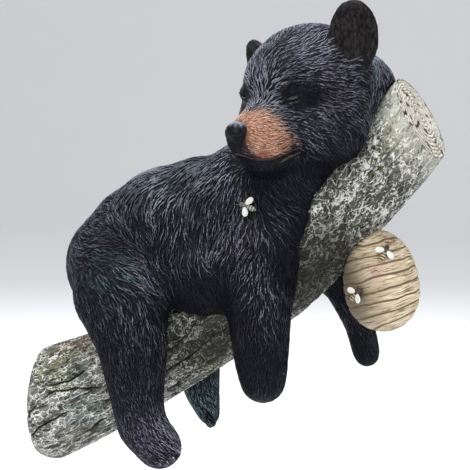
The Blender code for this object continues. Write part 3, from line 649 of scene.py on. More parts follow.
def model_lock():
    """One lock of fur: a three-sided tapering length, drawn out to a tip. It is modelled a unit long and a unit wide,
    lying along X with its ridge up."""
    deselect()
    bpy.ops.mesh.primitive_cylinder_add(vertices=3, radius=0.5, depth=1.0, end_fill_type="TRIFAN", location=(0.5, 0, 0), rotation=(0, math.pi / 2, 0))
    lock = named("fur_lock")
    bpy.ops.object.transform_apply(location=True, rotation=True, scale=True)
    bpy.ops.object.mode_set(mode="EDIT")
    for place in (0.27, 0.56, 0.82):
        bpy.ops.mesh.select_all(action="SELECT")
        bpy.ops.mesh.bisect(plane_co=(place, 0, 0), plane_no=(1, 0, 0))
    bpy.ops.mesh.select_all(action="SELECT")
    bpy.ops.mesh.quads_convert_to_tris()
    bpy.ops.object.mode_set(mode="OBJECT")
    points = points_of(lock.data)
    faces = np.array([p.vertices[:] for p in lock.data.polygons])
    bpy.data.objects.remove(lock)
    return points, faces


def grow_locks(name, roots, sizes, part_rows, tree, into_cub, painted, seed, waviness):
    """Copies the lock to each root, bent along the lie of the fur over the skin, and joins the copies."""
    rng = np.random.default_rng(seed)
    shape, faces = model_lock()
    count, steps = len(roots), 5
    lengths = sizes[:, 0] * rng.uniform(0.70, 1.28, count) * 0.001
    widths = sizes[:, 1] * rng.uniform(0.78, 1.22, count) * 0.001
    heights = sizes[:, 2] * rng.uniform(0.65, 1.3, count) * 0.001
    spin = rng.normal(0, 0.09, count)
    phase = rng.uniform(0, 2 * math.pi, count)
    places = np.zeros((steps, count, 3))
    ups = np.zeros((steps, count, 3))
    sides = np.zeros((steps, count, 3))
    shares = (0.0, 0.27, 0.56, 0.82, 1.0)
    at = roots.copy()
    for k in range(steps):
        if k:
            at = at + ahead * ((shares[k] - shares[k - 1]) * lengths)[:, None]
        for i in range(count):
            found, normal, _, _ = tree.find_nearest(at[i])
            at[i] = found
            ups[k, i] = normal
        inner = within(into_cub, at)
        flow, _, _ = lie(inner, part_rows)
        flow = flow @ np.array(into_cub.to_3x3().normalized()).T
        turn = waviness * (ripple(at, 75.0, 3.0) * 1.6 + ripple(at, 190.0, 8.0) * 0.9) + spin + 0.27 * np.sin(phase + 5.5 * shares[k])
        flow -= (flow * ups[k]).sum(axis=1, keepdims=True) * ups[k]
        flow /= np.linalg.norm(flow, axis=1, keepdims=True) + 1e-12
        across = np.cross(ups[k], flow)
        ahead = flow * np.cos(turn)[:, None] + across * np.sin(turn)[:, None]
        places[k] = at
        sides[k] = np.cross(ups[k], ahead)
    lifts = np.array((-0.55, 0.35, 0.85, 1.0, 0.72))
    edges = np.array((-0.95, -0.55, -0.15, 0.05, 0.25))
    spans = np.array((0.62, 1.0, 0.92, 0.55, 0.06))
    level = np.clip(np.searchsorted((0.13, 0.41, 0.69, 0.91), shape[:, 0]), 0, steps - 1)
    top = shape[:, 2] > shape[:, 2].max() - 1e-4
    middle = (np.abs(shape[:, 1]) < 1e-4) & ~top
    across_share = np.sign(np.where(np.abs(shape[:, 1]) < 1e-4, 0, shape[:, 1]))
    verts = np.zeros((count, len(shape), 3))
    for v in range(len(shape)):
        k = level[v]
        height = lifts[k] if top[v] else (lifts[k] + 2 * edges[k]) / 3 if middle[v] else edges[k]
        verts[:, v] = places[k] + ups[k] * (height * heights)[:, None] + sides[k] * (0.5 * across_share[v] * spans[k] * widths)[:, None]
    offsets = (np.arange(count) * len(shape))[:, None, None]
    tris = (faces[None] + offsets).reshape(-1, 3)
    mesh = bpy.data.meshes.new(name)
    mesh.vertices.add(count * len(shape))
    mesh.loops.add(len(tris) * 3)
    mesh.polygons.add(len(tris))
    mesh.vertices.foreach_set("co", verts.astype(np.float32).ravel())
    mesh.polygons.foreach_set("loop_start", np.arange(0, len(tris) * 3, 3, dtype=np.int32))
    mesh.loops.foreach_set("vertex_index", tris.astype(np.int32).ravel())
    mesh.update(calc_edges=True)
    ridge = np.where(top, np.array((0.35, 0.8, 1.0, 1.0, 0.85))[level], 0.0)
    store(mesh, "ridge", np.tile(ridge, count))
    painted["brush"] = painted["brush"] * rng.choice((0.40, 0.85, 1.35), count, p=(0.28, 0.38, 0.34))
    painted["tan"] = np.clip(painted["tan"] + rng.uniform(-0.28, 0.28, count) * (painted["tan"] > 0.02) * (painted["tan"] < 0.85), 0, 1)
    for attribute, values in painted.items():
        store(mesh, attribute, np.repeat(values, len(shape)))
    made = bpy.data.objects.new(name, mesh)
    bpy.context.scene.collection.objects.link(made)
    return made


class SCULPTURE_OT_skin(Operator):
    """The cub's smooth skin, from its solid"""

    bl_idname = "sculpture.skin"
    bl_label = "Skin"

    def execute(self, context):
        fur = context.scene.sculpture_fur
        skin = copy_of(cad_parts["bear_cub"], "cub_skin")
        merge(skin, 1e-5, False)
        finish_with(skin, "REMESH", mode="VOXEL", voxel_size=fur.grain)
        finish_with(skin, "SMOOTH", factor=0.5, iterations=6)
        points = points_of(skin.data)
        on_head = within(head_matrix(), points)
        off_nose = (((on_head - np.array(NOSE)) / (np.array(NOSE_SIZE) + 0.4)) ** 2).sum(axis=1) > 1
        store(skin.data, "tan", tan_share(on_head) * off_nose)
        store(skin.data, "ear", ear_share(points))
        dress(skin, skin_paint(fur, "black_skin"), "bear_cub")
        return {"FINISHED"}


class SCULPTURE_OT_fur(Operator):
    """Locks of carved fur over the skin, in five pieces"""

    bl_idname = "sculpture.fur"
    bl_label = "Fur"

    def execute(self, context):
        fur = context.scene.sculpture_fur
        skin = bpy.data.objects["cub_skin"]
        tree = surface_of(skin.data)
        rows, parts = guides()
        points, normals = points_of(skin.data), normals_of(skin.data)
        into_cub = cub_matrix()
        free = ~bare(points)
        points, normals = points[free], normals[free]
        rng = np.random.default_rng(fur.seed)
        points = points + rng.uniform(-0.0008, 0.0008, points.shape)
        inner = within(into_cub, points)
        _, sizes, part = lie(inner, rows)
        spacing = np.sqrt(sizes[:, 0] * sizes[:, 1]) * fur.crowding * 0.001
        kept = scattered(points, spacing, fur.seed)
        points, normals, inner, sizes, part = points[kept], normals[kept], inner[kept], sizes[kept], part[kept]
        on_head = within(head_matrix(), points)
        tan = tan_share(on_head)
        sockets = np.sqrt(((on_head[:, 0] - EYE[0] + 1) / 17) ** 2 + ((np.abs(on_head[:, 1]) - EYE[1]) / 17) ** 2 + ((on_head[:, 2] - EYE[2] - 3) / 9) ** 2)
        patches = 0.5 + 0.9 * ripple(points, 24.0, 5.0) + 0.35 * ripple(points, 70.0, 2.0)
        # The brushing is stronger on upward-facing locks: a painted top light over the dry-brush.
        brush = (0.38 + 0.62 * soft_step(-0.35, 0.9, normals[:, 2])) * np.clip(0.35 + 0.75 * patches, 0.12, 1.15)
        head_part = np.isin(part, [parts.index("head"), parts.index("muzzle")])
        # On the head the brushing fades towards the jaw: painted shade under the head.
        brush *= np.where(head_part, 0.12 + 0.88 * soft_step(-48, -22, on_head[:, 2]), 1.0)
        brow = head_part * np.exp(-(((on_head[:, 1] / 17) ** 2) + ((on_head[:, 2] - 14) / 15) ** 2)) * soft_step(20, 50, on_head[:, 0])
        brush = brush * np.where(head_part, 1.7, 0.92) + 1.2 * brow
        # A painted sky sheen on the brow and round the near hind foot.
        near_foot = soft_step(1.3, 0.5, np.linalg.norm(inner - np.array((4, -72, -116)), axis=1) / 34)
        haze = np.clip(2.0 * brow + 0.24 * near_foot, 0, 1)
        # Round the eyes the brushing and the sheen are held back: painted shade in the eye sockets.
        outside_eye_shade = soft_step(0.75, 1.45, sockets)
        brush, haze = brush * (0.08 + 0.92 * outside_eye_shade), haze * outside_eye_shade
        # Less brushing on the throat under the head: painted shade.
        throat = ~head_part & (((on_head - np.array((44, 0, -62))) ** 2).sum(axis=1) < 44 ** 2)
        brush *= np.where(throat, 0.85, 1.0)
        for place, reach, more in LIGHTS:
            brush += more * soft_step(1.3, 0.5, np.linalg.norm(points - np.array(place), axis=1) / reach)
        for place, reach, share in SHADES:
            brush *= 1 - (1 - share) * soft_step(1.25, 0.55, np.linalg.norm((points - np.array(place)) / np.array(reach), axis=1))
        hues = {}
        for hue, shift, spots in (("teal", 11.0, TEAL), ("purple", 17.0, PURPLE)):
            share = 0.40 * soft_step(0.10, 0.45, ripple(points, 22.0, shift))
            for place, reach in spots:
                share = np.maximum(share, soft_step(1.3, 0.5, np.linalg.norm(points - np.array(place), axis=1) / reach))
            hues[hue] = share
        leg_part = np.isin(part, [parts.index(p) for p in ("near foreleg", "hind leg", "feet", "far foreleg")])
        torso = ~(head_part | leg_part)
        groups = {
            "fur_head": head_part,
            "fur_forelegs": leg_part & (inner[:, 0] >= 50),
            "fur_hind_legs": leg_part & (inner[:, 0] < 50),
            "fur_rump": torso & (inner[:, 0] < 12),
            "fur_chest": torso & (inner[:, 0] >= 12),
        }
        paint = fur_paint(fur, "black_fur_locks")
        for i, (name, chosen) in enumerate(groups.items()):
            painted = {"tan": tan[chosen], "brush": brush[chosen], "haze": haze[chosen], **{hue: share[chosen] for hue, share in hues.items()}}
            locks = grow_locks(name, points[chosen], sizes[chosen], rows, tree, into_cub, painted, fur.seed + i, fur.waviness)
            print(name, int(chosen.sum()), "locks,", len(locks.data.polygons), "triangles")
            dress(locks, paint, "bear_cub")
        return {"FINISHED"}


def on_skin(tree, inside, place, lift=0.0):
    """Where a line from inside through the place meets the skin, all in world metres."""
    way = (place - inside).normalized()
    hit, normal, _, _ = tree.ray_cast(inside, way)
    if hit is None or (hit - place).length > 0.012:
        hit, normal, _, _ = tree.find_nearest(place)
    return hit + normal * lift


def welt(name, places, radii, paint_name):
    """A tapered round length through the places, closed at both ends."""
    curve = bpy.data.curves.new(name, "CURVE")
    curve.dimensions = "3D"
    curve.bevel_depth = 1.0
    curve.bevel_resolution = 3
    curve.resolution_u = 6
    curve.use_fill_caps = True
    spline = curve.splines.new("NURBS")
    spline.points.add(len(places) - 1)
    spline.use_endpoint_u = True
    spline.order_u = 4
    for point, place, radius in zip(spline.points, places, radii):
        point.co = (*place, 1)
        point.radius = radius
    made = bpy.data.objects.new(name, curve)
    bpy.context.scene.collection.objects.link(made)
    take(made)
    bpy.ops.object.convert(target="MESH")
    made = named(name)
    merge(made, 1e-6)
    return made


class SCULPTURE_OT_face(Operator):
    """Nose, closed eyes and mouth"""

    bl_idname = "sculpture.face"
    bl_label = "Face"

    def execute(self, context):
        fur = context.scene.sculpture_fur
        tree = surface_of(bpy.data.objects["cub_skin"].data)
        head = head_matrix()
        self.nose(head)
        self.mouth(tree, head)
        self.eyes(tree, head, fur)
        return {"FINISHED"}

    def nose(self, head):
        deselect()
        bpy.ops.mesh.primitive_uv_sphere_add(segments=64, ring_count=40, radius=1.0)
        nose = named("nose_pad")
        points = points_of(nose.data)
        x, y, z = points.T
        broad = 1 + 0.16 * z - 0.10 * soft_step(0.2, -0.9, z)
        front = soft_step(-0.2, 0.5, x)
        dent = np.zeros(len(points))
        for side in (1, -1):
            dent += np.exp(-(((y - side * 0.50) / 0.24) ** 2 + ((z + 0.26 + 0.3 * (np.abs(y) - 0.50)) / 0.24) ** 2)) * front
            dent += 0.45 * np.exp(-(((y - side * 0.80) / 0.16) ** 2 + ((z + 0.08) / 0.13) ** 2)) * front
        split = 0.35 * np.exp(-((y / 0.07) ** 2)) * front * soft_step(0.45, 0.0, z)
        rough = 0.010 * ripple(points, 9.0)
        shrink = 1 - 0.20 * dent - 0.07 * split + rough
        points = np.stack([x * shrink * NOSE_SIZE[0], y * broad * (1 - 0.06 * dent) * NOSE_SIZE[1], z * (1 - 0.05 * dent) * NOSE_SIZE[2]], axis=1) + np.array(NOSE)
        set_points(nose.data, points)
        settle(nose, head)
        store(nose.data, "pit", np.clip(dent, 0, 1))
        paint = Paint("nose_gloss", 0.30, Specular_IOR_Level=0.11)
        place = paint.place()
        pores = paint.cloud(place, 1500.0, 2.0)
        # The blue-grey top is dry-brush worn through, kept to upward faces as a painted highlight.
        worn = paint.upward().step(0.66, 0.98) * paint.cloud(place, 320.0, 3.0).step(0.34, 0.60)
        black = paint.mix(worn * 0.80, (0.0055, 0.0055, 0.0075), (0.210, 0.235, 0.290))
        # The nostril pits go near-black: painted shade in the openings.
        paint.finish("Base Color", paint.mix(paint.kept("pit").step(0.15, 0.55), black, (0.0015, 0.0015, 0.0015)))
        paint.finish("Roughness", 0.22 + worn * 0.3)
        paint.finish("Normal", paint.bump(pores, 0.0003, 0.4))
        dress(nose, paint.material, "bear_cub")

    def mouth(self, tree, head):
        inside = head @ Vector((52, 0, -22))

        def both(line, lift):
            whole = [*line, *((x, -y, z) for x, y, z in reversed(line[:-1]))]
            return [on_skin(tree, inside, head @ Vector(p), lift) for p in whole]

        taper = (0.25, 0.6, 0.85, 1.0, 1.0, 0.95, 0.9, 0.9, 0.9, 0.95, 1.0, 1.0, 0.85, 0.6, 0.25)
        lips = welt("mouth_line", both(MOUTH, -0.0003), [0.00115 * r for r in taper], "mouth")
        paint = Paint("mouth_paint", 0.5, Specular_IOR_Level=0.3)
        uneven = paint.cloud(paint.place(), 260.0, 3.0).step(0.35, 0.7)
        paint.finish("Base Color", paint.mix(uneven, (0.012, 0.005, 0.004), (0.075, 0.024, 0.017)))
        paint.finish("Normal", paint.bump(uneven, 0.0003, 0.5))
        dress(lips, paint.material, "bear_cub")
        taper = (0.4, 1.0, 1.25, 1.0, 0.7, 1.0, 1.25, 1.0, 0.4)
        under = welt("lower_lip", both(LOWER_LIP, -0.0009), [0.0016 * r for r in taper], "lip")
        paint = Paint("lip_paint", 0.55, Specular_IOR_Level=0.3)
        place = paint.place()
        worn = paint.cloud(place, 420.0, 4.0, 0.65).step(0.44, 0.62) * paint.near(place, tuple(head @ Vector((58, 24, -39))), 0.020)
        paint.finish("Base Color", paint.mix(worn * 0.75, (0.010, 0.0075, 0.006), (0.090, 0.070, 0.042)))
        paint.finish("Normal", paint.bump(worn, 0.0004, 0.6))
        dress(under, paint.material, "bear_cub")

    def eyes(self, tree, head, fur):
        lid_paint = Paint("eyelid_paint", 0.44, Specular_IOR_Level=0.12)
        place = lid_paint.place()
        creases = lid_paint.cloud(lid_paint.stretched(place, (1, 1, 2.6)), 420.0, 3.0)
        lid_paint.finish("Base Color", lid_paint.mix(creases.step(0.36, 0.62) * 0.60, (0.007, 0.008, 0.009), (0.115, 0.132, 0.132)))
        lid_paint.finish("Normal", lid_paint.bump(creases, 0.0004, 0.7))
        low_paint = Paint("lower_lid_paint", 0.44, Specular_IOR_Level=0.12)
        worn = low_paint.cloud(low_paint.place(), 500.0, 3.0).step(0.38, 0.66)
        low_paint.finish("Base Color", low_paint.mix(worn, (0.008, 0.009, 0.010), (0.110, 0.125, 0.130)))
        low_paint.finish("Normal", low_paint.bump(worn, 0.0003, 0.6))
        slit_paint = Paint("eye_slit_paint", 0.30, Specular_IOR_Level=0.05)
        gleam = slit_paint.cloud(slit_paint.place(), 300.0, 1.0)
        slit_paint.finish("Base Color", slit_paint.mix(gleam, (0.0012, 0.0012, 0.0016), (0.004, 0.004, 0.006)))
        for side, word in ((1, "near"), (-1, "far")):
            inside = head @ Vector((22, side * 20, 4))

            def line(places, lift, drop=0.0):
                return [on_skin(tree, inside, head @ Vector((x, side * y, z + drop)), lift) for x, y, z in places]

            upper = welt("upper_lid_" + word, line(LID_CREASE, -0.0009, -1.7), [0.0018 * r for r in (0.4, 0.9, 1.0, 0.85, 0.35)], "lid")
            crease = welt("lid_crease_" + word, line(LID_CREASE, -0.0001, 0.2), [0.0005 * r for r in (0.3, 0.9, 1.0, 0.9, 0.3)], "crease")
            slit = welt("eye_slit_" + word, line(EYE_SLIT, -0.0001), [0.0008 * r for r in (0.7, 1.1, 1.0, 0.85, 0.3)], "slit")
            lower = welt("lower_lid_" + word, line(LOWER_LID, -0.0007), [0.0013 * r for r in (0.4, 1.0, 1.0, 0.4)], "lid")
            dress(upper, lid_paint.material, "bear_cub")
            dress(crease, slit_paint.material, "bear_cub")
            dress(slit, slit_paint.material, "bear_cub")
            dress(lower, low_paint.material, "bear_cub")


class SCULPTURE_OT_claws(Operator):
    """Claws of the hind feet"""

    bl_idname = "sculpture.claws"
    bl_label = "Claws"

    def execute(self, context):
        tree = surface_of(bpy.data.objects["cub_skin"].data)
        cub = cub_matrix()
        deselect()
        bpy.ops.mesh.primitive_cone_add(vertices=16, radius1=1.0, radius2=0.18, depth=3.4, location=(0, 0, 1.0))
        claw = named("claw")
        bpy.ops.object.transform_apply(location=True, rotation=True, scale=True)
        bpy.ops.object.mode_set(mode="EDIT")
        for height in (-0.1, 0.7, 1.5, 2.2):
            bpy.ops.mesh.select_all(action="SELECT")
            bpy.ops.mesh.bisect(plane_co=(0, 0, height), plane_no=(0, 0, 1))
        bpy.ops.object.mode_set(mode="OBJECT")
        points = points_of(claw.data)
        points[:, 0] += 0.16 * (points[:, 2] + 0.7) ** 2 * 0.5
        points[:, 1] *= 0.72
        set_points(claw.data, points)
        made = []
        for places, way in CLAWS.values():
            for place in places:
                hit, normal, _, _ = tree.find_nearest(cub @ Vector(place))
                turn = ((cub.to_3x3() @ Vector(way)).normalized() + normal * 0.45).normalized()
                at = Matrix.Translation(hit - turn * 0.0010) @ turn.to_track_quat("Z", "X").to_matrix().to_4x4() @ Matrix.Scale(0.0013, 4)
                made.append(settle(copy_of(claw, "claw_copy"), at))
        bpy.data.objects.remove(claw)
        claws = join(made, "claws")
        finish_with(claws, "SUBSURF", levels=1, render_levels=1)
        paint = Paint("claw_horn", 0.36)
        place = paint.place()
        streak = paint.cloud(paint.stretched(place, (1, 1, 0.4)), 900.0, 3.0).step(0.35, 0.70)
        paint.finish("Base Color", paint.mix(streak, (0.10, 0.10, 0.11), (0.50, 0.51, 0.54)))
        paint.finish("Normal", paint.bump(streak, 0.0002, 0.5))
        dress(claws, paint.material, "bear_cub")
        return {"FINISHED"}


# The branch


def bark_relief(along, around, radius):
    """Crack from 0 to 1 and crumpled ridge from 0 to 1 at a place on the bark, in metres along and around it. Long
    plates near the cut end turn into crumpled bark towards the tip."""
    crumpled = min(max((along - 0.11) / 0.09, 0), 1)
    turn = around / radius
    ring = Vector((0, math.cos(turn), math.sin(turn))) * radius
    below = 1 if turn < math.pi else -1
    crack, shoulder = 0.0, 0.0
    for i in range(CRACKS):
        wander = 0.30 * noise.noise(Vector((along / 0.050, 7.0 * i, 1.5))) + 0.05 * noise.noise(Vector((along / 0.009, 7.0 * i, 4.5)))
        apart = (turn - 2 * math.pi * (i + 0.35) / CRACKS - wander + math.pi) % (2 * math.pi) - math.pi
        apart *= radius
        if abs(apart) > 0.008:
            continue
        open_here = min(1.0, max(0.0, 0.80 + 1.8 * noise.noise(Vector((along / 0.040, 5.0 * i, 9.5)))))
        crack = max(crack, max(0.0, 1 - abs(apart) / 0.0021) * open_here)
        shoulder = max(shoulder, max(0.0, 1 - abs(apart - below * 0.0036) / 0.0020) * open_here)
    crack *= 1 - 0.45 * crumpled
    shoulder *= 1 - 0.7 * crumpled
    fine = Vector((along / 0.0085, ring.y / 0.0060, ring.z / 0.0060))
    fine += 0.75 * noise.noise_vector(fine * 0.7)
    folds = 1 - min(1.0, abs(noise.noise(fine * 0.75)) * 4.5)
    small = 1 - min(1.0, abs(noise.noise(fine * 1.6 + Vector((5, 2, 8)))) * 4.0)
    ridge = (0.30 + 0.70 * crumpled) * max(folds, 0.75 * small)
    return min(1.0, crack), max(ridge, 0.8 * shoulder)


class SCULPTURE_OT_branch(Operator):
    """The branch: cracked and crumpled bark, a plain cut at the fastened end and a ringed sawn tip"""

    bl_idname = "sculpture.branch"
    bl_label = "Branch"

    def execute(self, context):
        bark = context.scene.sculpture_bark
        sides, rows = bark.sides, bark.rings
        root_rows, tip_rows = 8, 46
        noise.seed_set(11)  # noise_vector is otherwise seeded from the clock
        deselect()
        bpy.ops.mesh.primitive_grid_add(x_subdivisions=rows + root_rows + tip_rows - 1, y_subdivisions=sides, size=1.0)
        branch = named("bark")
        grid = points_of(branch.data)
        column = np.rint((grid[:, 0] + 0.5) * (rows + root_rows + tip_rows - 1)).astype(int)
        turn_at = np.rint((grid[:, 1] + 0.5) * sides).astype(int) % sides
        steps = np.linspace(-0.15, 1.15, 521).tolist()
        axis = np.array([branch_point(t) for t in steps])
        lengths = np.concatenate([[0], np.cumsum(np.linalg.norm(np.diff(axis, axis=0), axis=1))])
        lengths -= np.interp(0, steps, lengths)
        ups = np.array([branch_up(t) for t in steps])
        radii = np.array([branch_radius(t) for t in steps])
        tip = branch_point(1.0)
        table = np.zeros((rows + root_rows + tip_rows, sides, 3))
        keep = {name: np.zeros((rows + root_rows + tip_rows, sides)) for name in ("crack", "ridge", "sawn", "crumpled", "rim")}
        grain = np.zeros((rows + root_rows + tip_rows, sides, 3))
        for j in range(sides):
            turn = 2 * math.pi * j / sides
            out = ups * math.cos(turn) + np.array((0, 1, 0)) * math.sin(turn)
            line = axis + out * radii[:, None]
            sunk = np.array(bark.crack_depth * 0.5 + 0.009 * (0.25 + 0.95 * (0.5 - 0.5 * math.cos(turn))))
            first = float(np.interp(0, (line - out * sunk)[:, 0], steps))
            beyond = (line - np.array(tip)) @ np.array(SAWN_FACING)
            last = float(np.interp(0, beyond, steps))
            ts = first + (last - first) * np.linspace(0, 1, rows)
            for k, t in enumerate(ts):
                t = float(t)
                radius = branch_radius(t)
                along = float(np.interp(t, steps, lengths))
                crack, ridge = bark_relief(along, turn * radius, radius)
                way = branch_up(t) * math.cos(turn) + Vector((0, math.sin(turn), 0))
                end = max(0.0, 1 - max(0.0, (branch_point(t) + way * radius).x) / 0.0198)
                low = 0.5 - 0.5 * math.cos(turn)
                depth = bark.crack_depth * crack - bark.ridge_height * (ridge - 0.4) + 0.009 * (0.25 + 0.95 * low) * end ** 2
                rim = max(0.0, 1 - (last - t) * 8.0)
                depth += 0.0018 * rim ** 2
                at = branch_point(t) + way * (radius - 0.0006 - depth)
                at.x = max(at.x, 0.0)
                if k == rows - 1:
                    at -= SAWN_FACING * (at - tip).dot(SAWN_FACING)
                row = root_rows + k
                table[row, j] = at
                keep["crack"][row, j] = crack
                keep["ridge"][row, j] = ridge
                keep["crumpled"][row, j] = min(max((along - 0.09) / 0.06, 0), 1)
                keep["rim"][row, j] = rim
                grain[row, j] = (along, radius * math.cos(turn), radius * math.sin(turn))
        root_centre = table[root_rows].mean(axis=0)
        for k in range(root_rows):
            share = k / root_rows
            table[k] = root_centre + (table[root_rows] - root_centre) * share
            grain[k] = grain[root_rows] * np.array((1, share, share))
            keep["crack"][k] = 0.3
        rim_row = root_rows + rows - 1
        tip_centre = table[rim_row].mean(axis=0) + np.array(branch_up(1.0)) * 0.004
        for k in range(1, tip_rows + 1):
            share = 1 - k / tip_rows
            flat = (table[rim_row] - tip_centre) * share
            for j in range(sides):
                place = Vector(flat[j]) * 1000
                wobble = 0.16 * noise.noise(place * 0.09) + 0.05 * noise.noise(place * 0.35)
                ringed = 0.5 + 0.5 * math.cos(2 * math.pi * (share * 11.5 + 3.4 * wobble))
                knot = noise.noise(place * 0.22 + Vector((4, 1, 9)))
                level = 0.0050 * (1 - share ** 2) * 0.6 + 0.0006 * ringed * (0.5 + 0.5 * min(1, 6 * (1 - share))) - 0.0022 * max(0.0, -knot - 0.22) * 2
                table[rim_row + k, j] = tip_centre + flat[j] + np.array(SAWN_FACING) * (level - 0.0008)
                keep["crack"][rim_row + k, j] = max(0.0, -knot - 0.15) * 3
                keep["ridge"][rim_row + k, j] = ringed
                keep["sawn"][rim_row + k, j] = 1.0 if k > 1 else 0.4
                grain[rim_row + k, j] = grain[rim_row, j] * np.array((1, share, share))
        set_points(branch.data, table[column, turn_at])
        for name, values in keep.items():
            store(branch.data, name, values[column, turn_at])
        store_vectors(branch.data, "grain", grain[column, turn_at])
        merge(branch, 2e-6)
        dress(branch, self.paint(bark), "branch")
        return {"FINISHED"}

    def paint(self, bark):
        paint = Paint("painted_bark", 0.80, Specular_IOR_Level=0.25)
        place = paint.place()
        grain = paint.kept("grain", "Vector")
        crack, ridge, sawn = paint.kept("crack"), paint.kept("ridge"), paint.kept("sawn")
        warp = paint.stretched(paint.cloud(place, 130.0, 2.0, out="Color"), (0.008, 0.008, 0.008))
        warped = paint.shifted(paint.stretched(grain, (0.70, 1.0, 1.0)), warp)

        def veins(vector, scale, width):
            """Thin winding lines, 1 on the line and 0 beside it."""
            level = paint.cloud(vector, scale, 3.0, 0.55) - 0.5
            return level.maths("ABSOLUTE", level).step(width, 0.15 * width)

        crumpled, rim = paint.kept("crumpled"), paint.kept("rim")
        wide = veins(warped, 95.0, 0.026)
        narrow = veins(paint.shifted(warped, (0.31, 0.17, 0.05)), 180.0, 0.030)
        drawn = paint.shifted(paint.stretched(grain, (0.50, 1.0, 1.0)), warp)
        net = paint.net(paint.shifted(drawn, (0.11, 0.27, 0.15)), 215.0).step(0.075, 0.020)
        small = paint.net(paint.shifted(drawn, (0.05, 0.33, 0.21)), 430.0).step(0.11, 0.03)
        streaks = paint.cloud(paint.stretched(grain, (0.12, 1, 1)), 420.0, 3.0, 0.6)
        patch = paint.cloud(place, 46.0, 3.0, 0.6)
        worn = paint.cloud(paint.stretched(grain, (0.5, 1, 1)), 120.0, 4.0, 0.65)
        pits = paint.cloud(warped, 270.0, 3.0, 0.6)
        speckle = paint.cloud(place, 1000.0, 3.0, 0.7)
        plates = paint.mix(crumpled, bark.plate, (0.060, 0.064, 0.046))
        plate = paint.mix(worn.step(0.36, 0.60), (0.045, 0.045, 0.040), plates)
        plate = paint.mix(speckle.step(0.55, 0.70) * 0.5, plate, (0.34, 0.335, 0.31))
        green = paint.cloud(paint.shifted(place, (0.2, 0.5, 0.1)), 40.0, 3.0, 0.6).step(0.50, 0.64)
        plate = paint.mix(green * (0.35 + crumpled * 0.40), plate, bark.moss)
        for centre, radius, colour, strength in BARK_STAINS:
            plate = paint.mix(paint.near(place, centre, radius) * worn.step(0.30, 0.55) * strength, plate, colour)
        left = (net * (0.25 + worn.step(0.40, 0.56) * 0.95) + small * worn.step(0.46, 0.60) * 0.70 + streaks.step(0.56, 0.66) * worn.step(0.56, 0.44) * 0.70) * (1.0 - crumpled * 0.75)
        right = (wide + narrow * 0.75).step(0.0, 1.0) * (0.25 + crumpled * 0.75)
        lines = (left + right + ridge.step(0.62, 0.98) * (0.40 + crumpled * 0.20)) * (speckle.step(0.22, 0.48) * 0.45 + 0.55)
        raised = lines.step(0.10, 0.85)
        hollow = (pits.step(0.47, 0.38) * 0.95 + streaks.step(0.44, 0.36) * worn.step(0.58, 0.46) * (1.0 - crumpled)).step(0.0, 1.0) * (1.0 - raised * 0.7)
        skin = paint.mix(hollow, plate, bark.dark)
        skin = paint.mix(raised * (0.45 + patch * 0.80), skin, bark.pale)
        skin = paint.mix(rim.step(0.45, 0.92) * (raised * 0.5 + 0.45) * worn.step(0.26, 0.48), skin, (0.72, 0.71, 0.62))
        # Painted shadow beside the hive and under the cub's belly.
        for centre, radius, share in BARK_SHADE:
            skin = paint.mix(paint.near(place, centre, radius) * (1.0 - raised * 0.30) * share, skin, (0.018, 0.018, 0.012))
        skin = paint.mix(crack.step(0.30, 0.72), skin, (0.010, 0.010, 0.009))
        smooth_moss = paint.near(place, (0.055, -0.046, -0.026), 0.030) * crack.step(0.6, 0.2)
        skin = paint.mix(smooth_moss * 0.65, skin, (0.070, 0.080, 0.035))
        rings = ridge.step(0.20, 0.90) * (pits * 0.8 + 0.45)
        cut = paint.mix(rings, (0.33, 0.285, 0.195), bark.wood)
        cut = paint.mix(worn.step(0.50, 0.72) * 0.7, cut, (0.80, 0.77, 0.66))
        cut = paint.mix(pits.step(0.40, 0.30) * 0.6, cut, (0.20, 0.165, 0.10))
        cut = paint.mix(crack.step(0.2, 0.9), cut, (0.07, 0.055, 0.035))
        paint.finish("Base Color", paint.mix(sawn, skin, cut))
        paint.finish("Roughness", 0.62 + speckle * 0.3)
        height = (raised * 1.0 - hollow * 0.8 + pits * 0.5 + speckle * 0.2) * (1.0 - sawn * 0.55)
        paint.finish("Normal", paint.bump(height, 0.0013, 1.0))
        return paint.material


# The hive


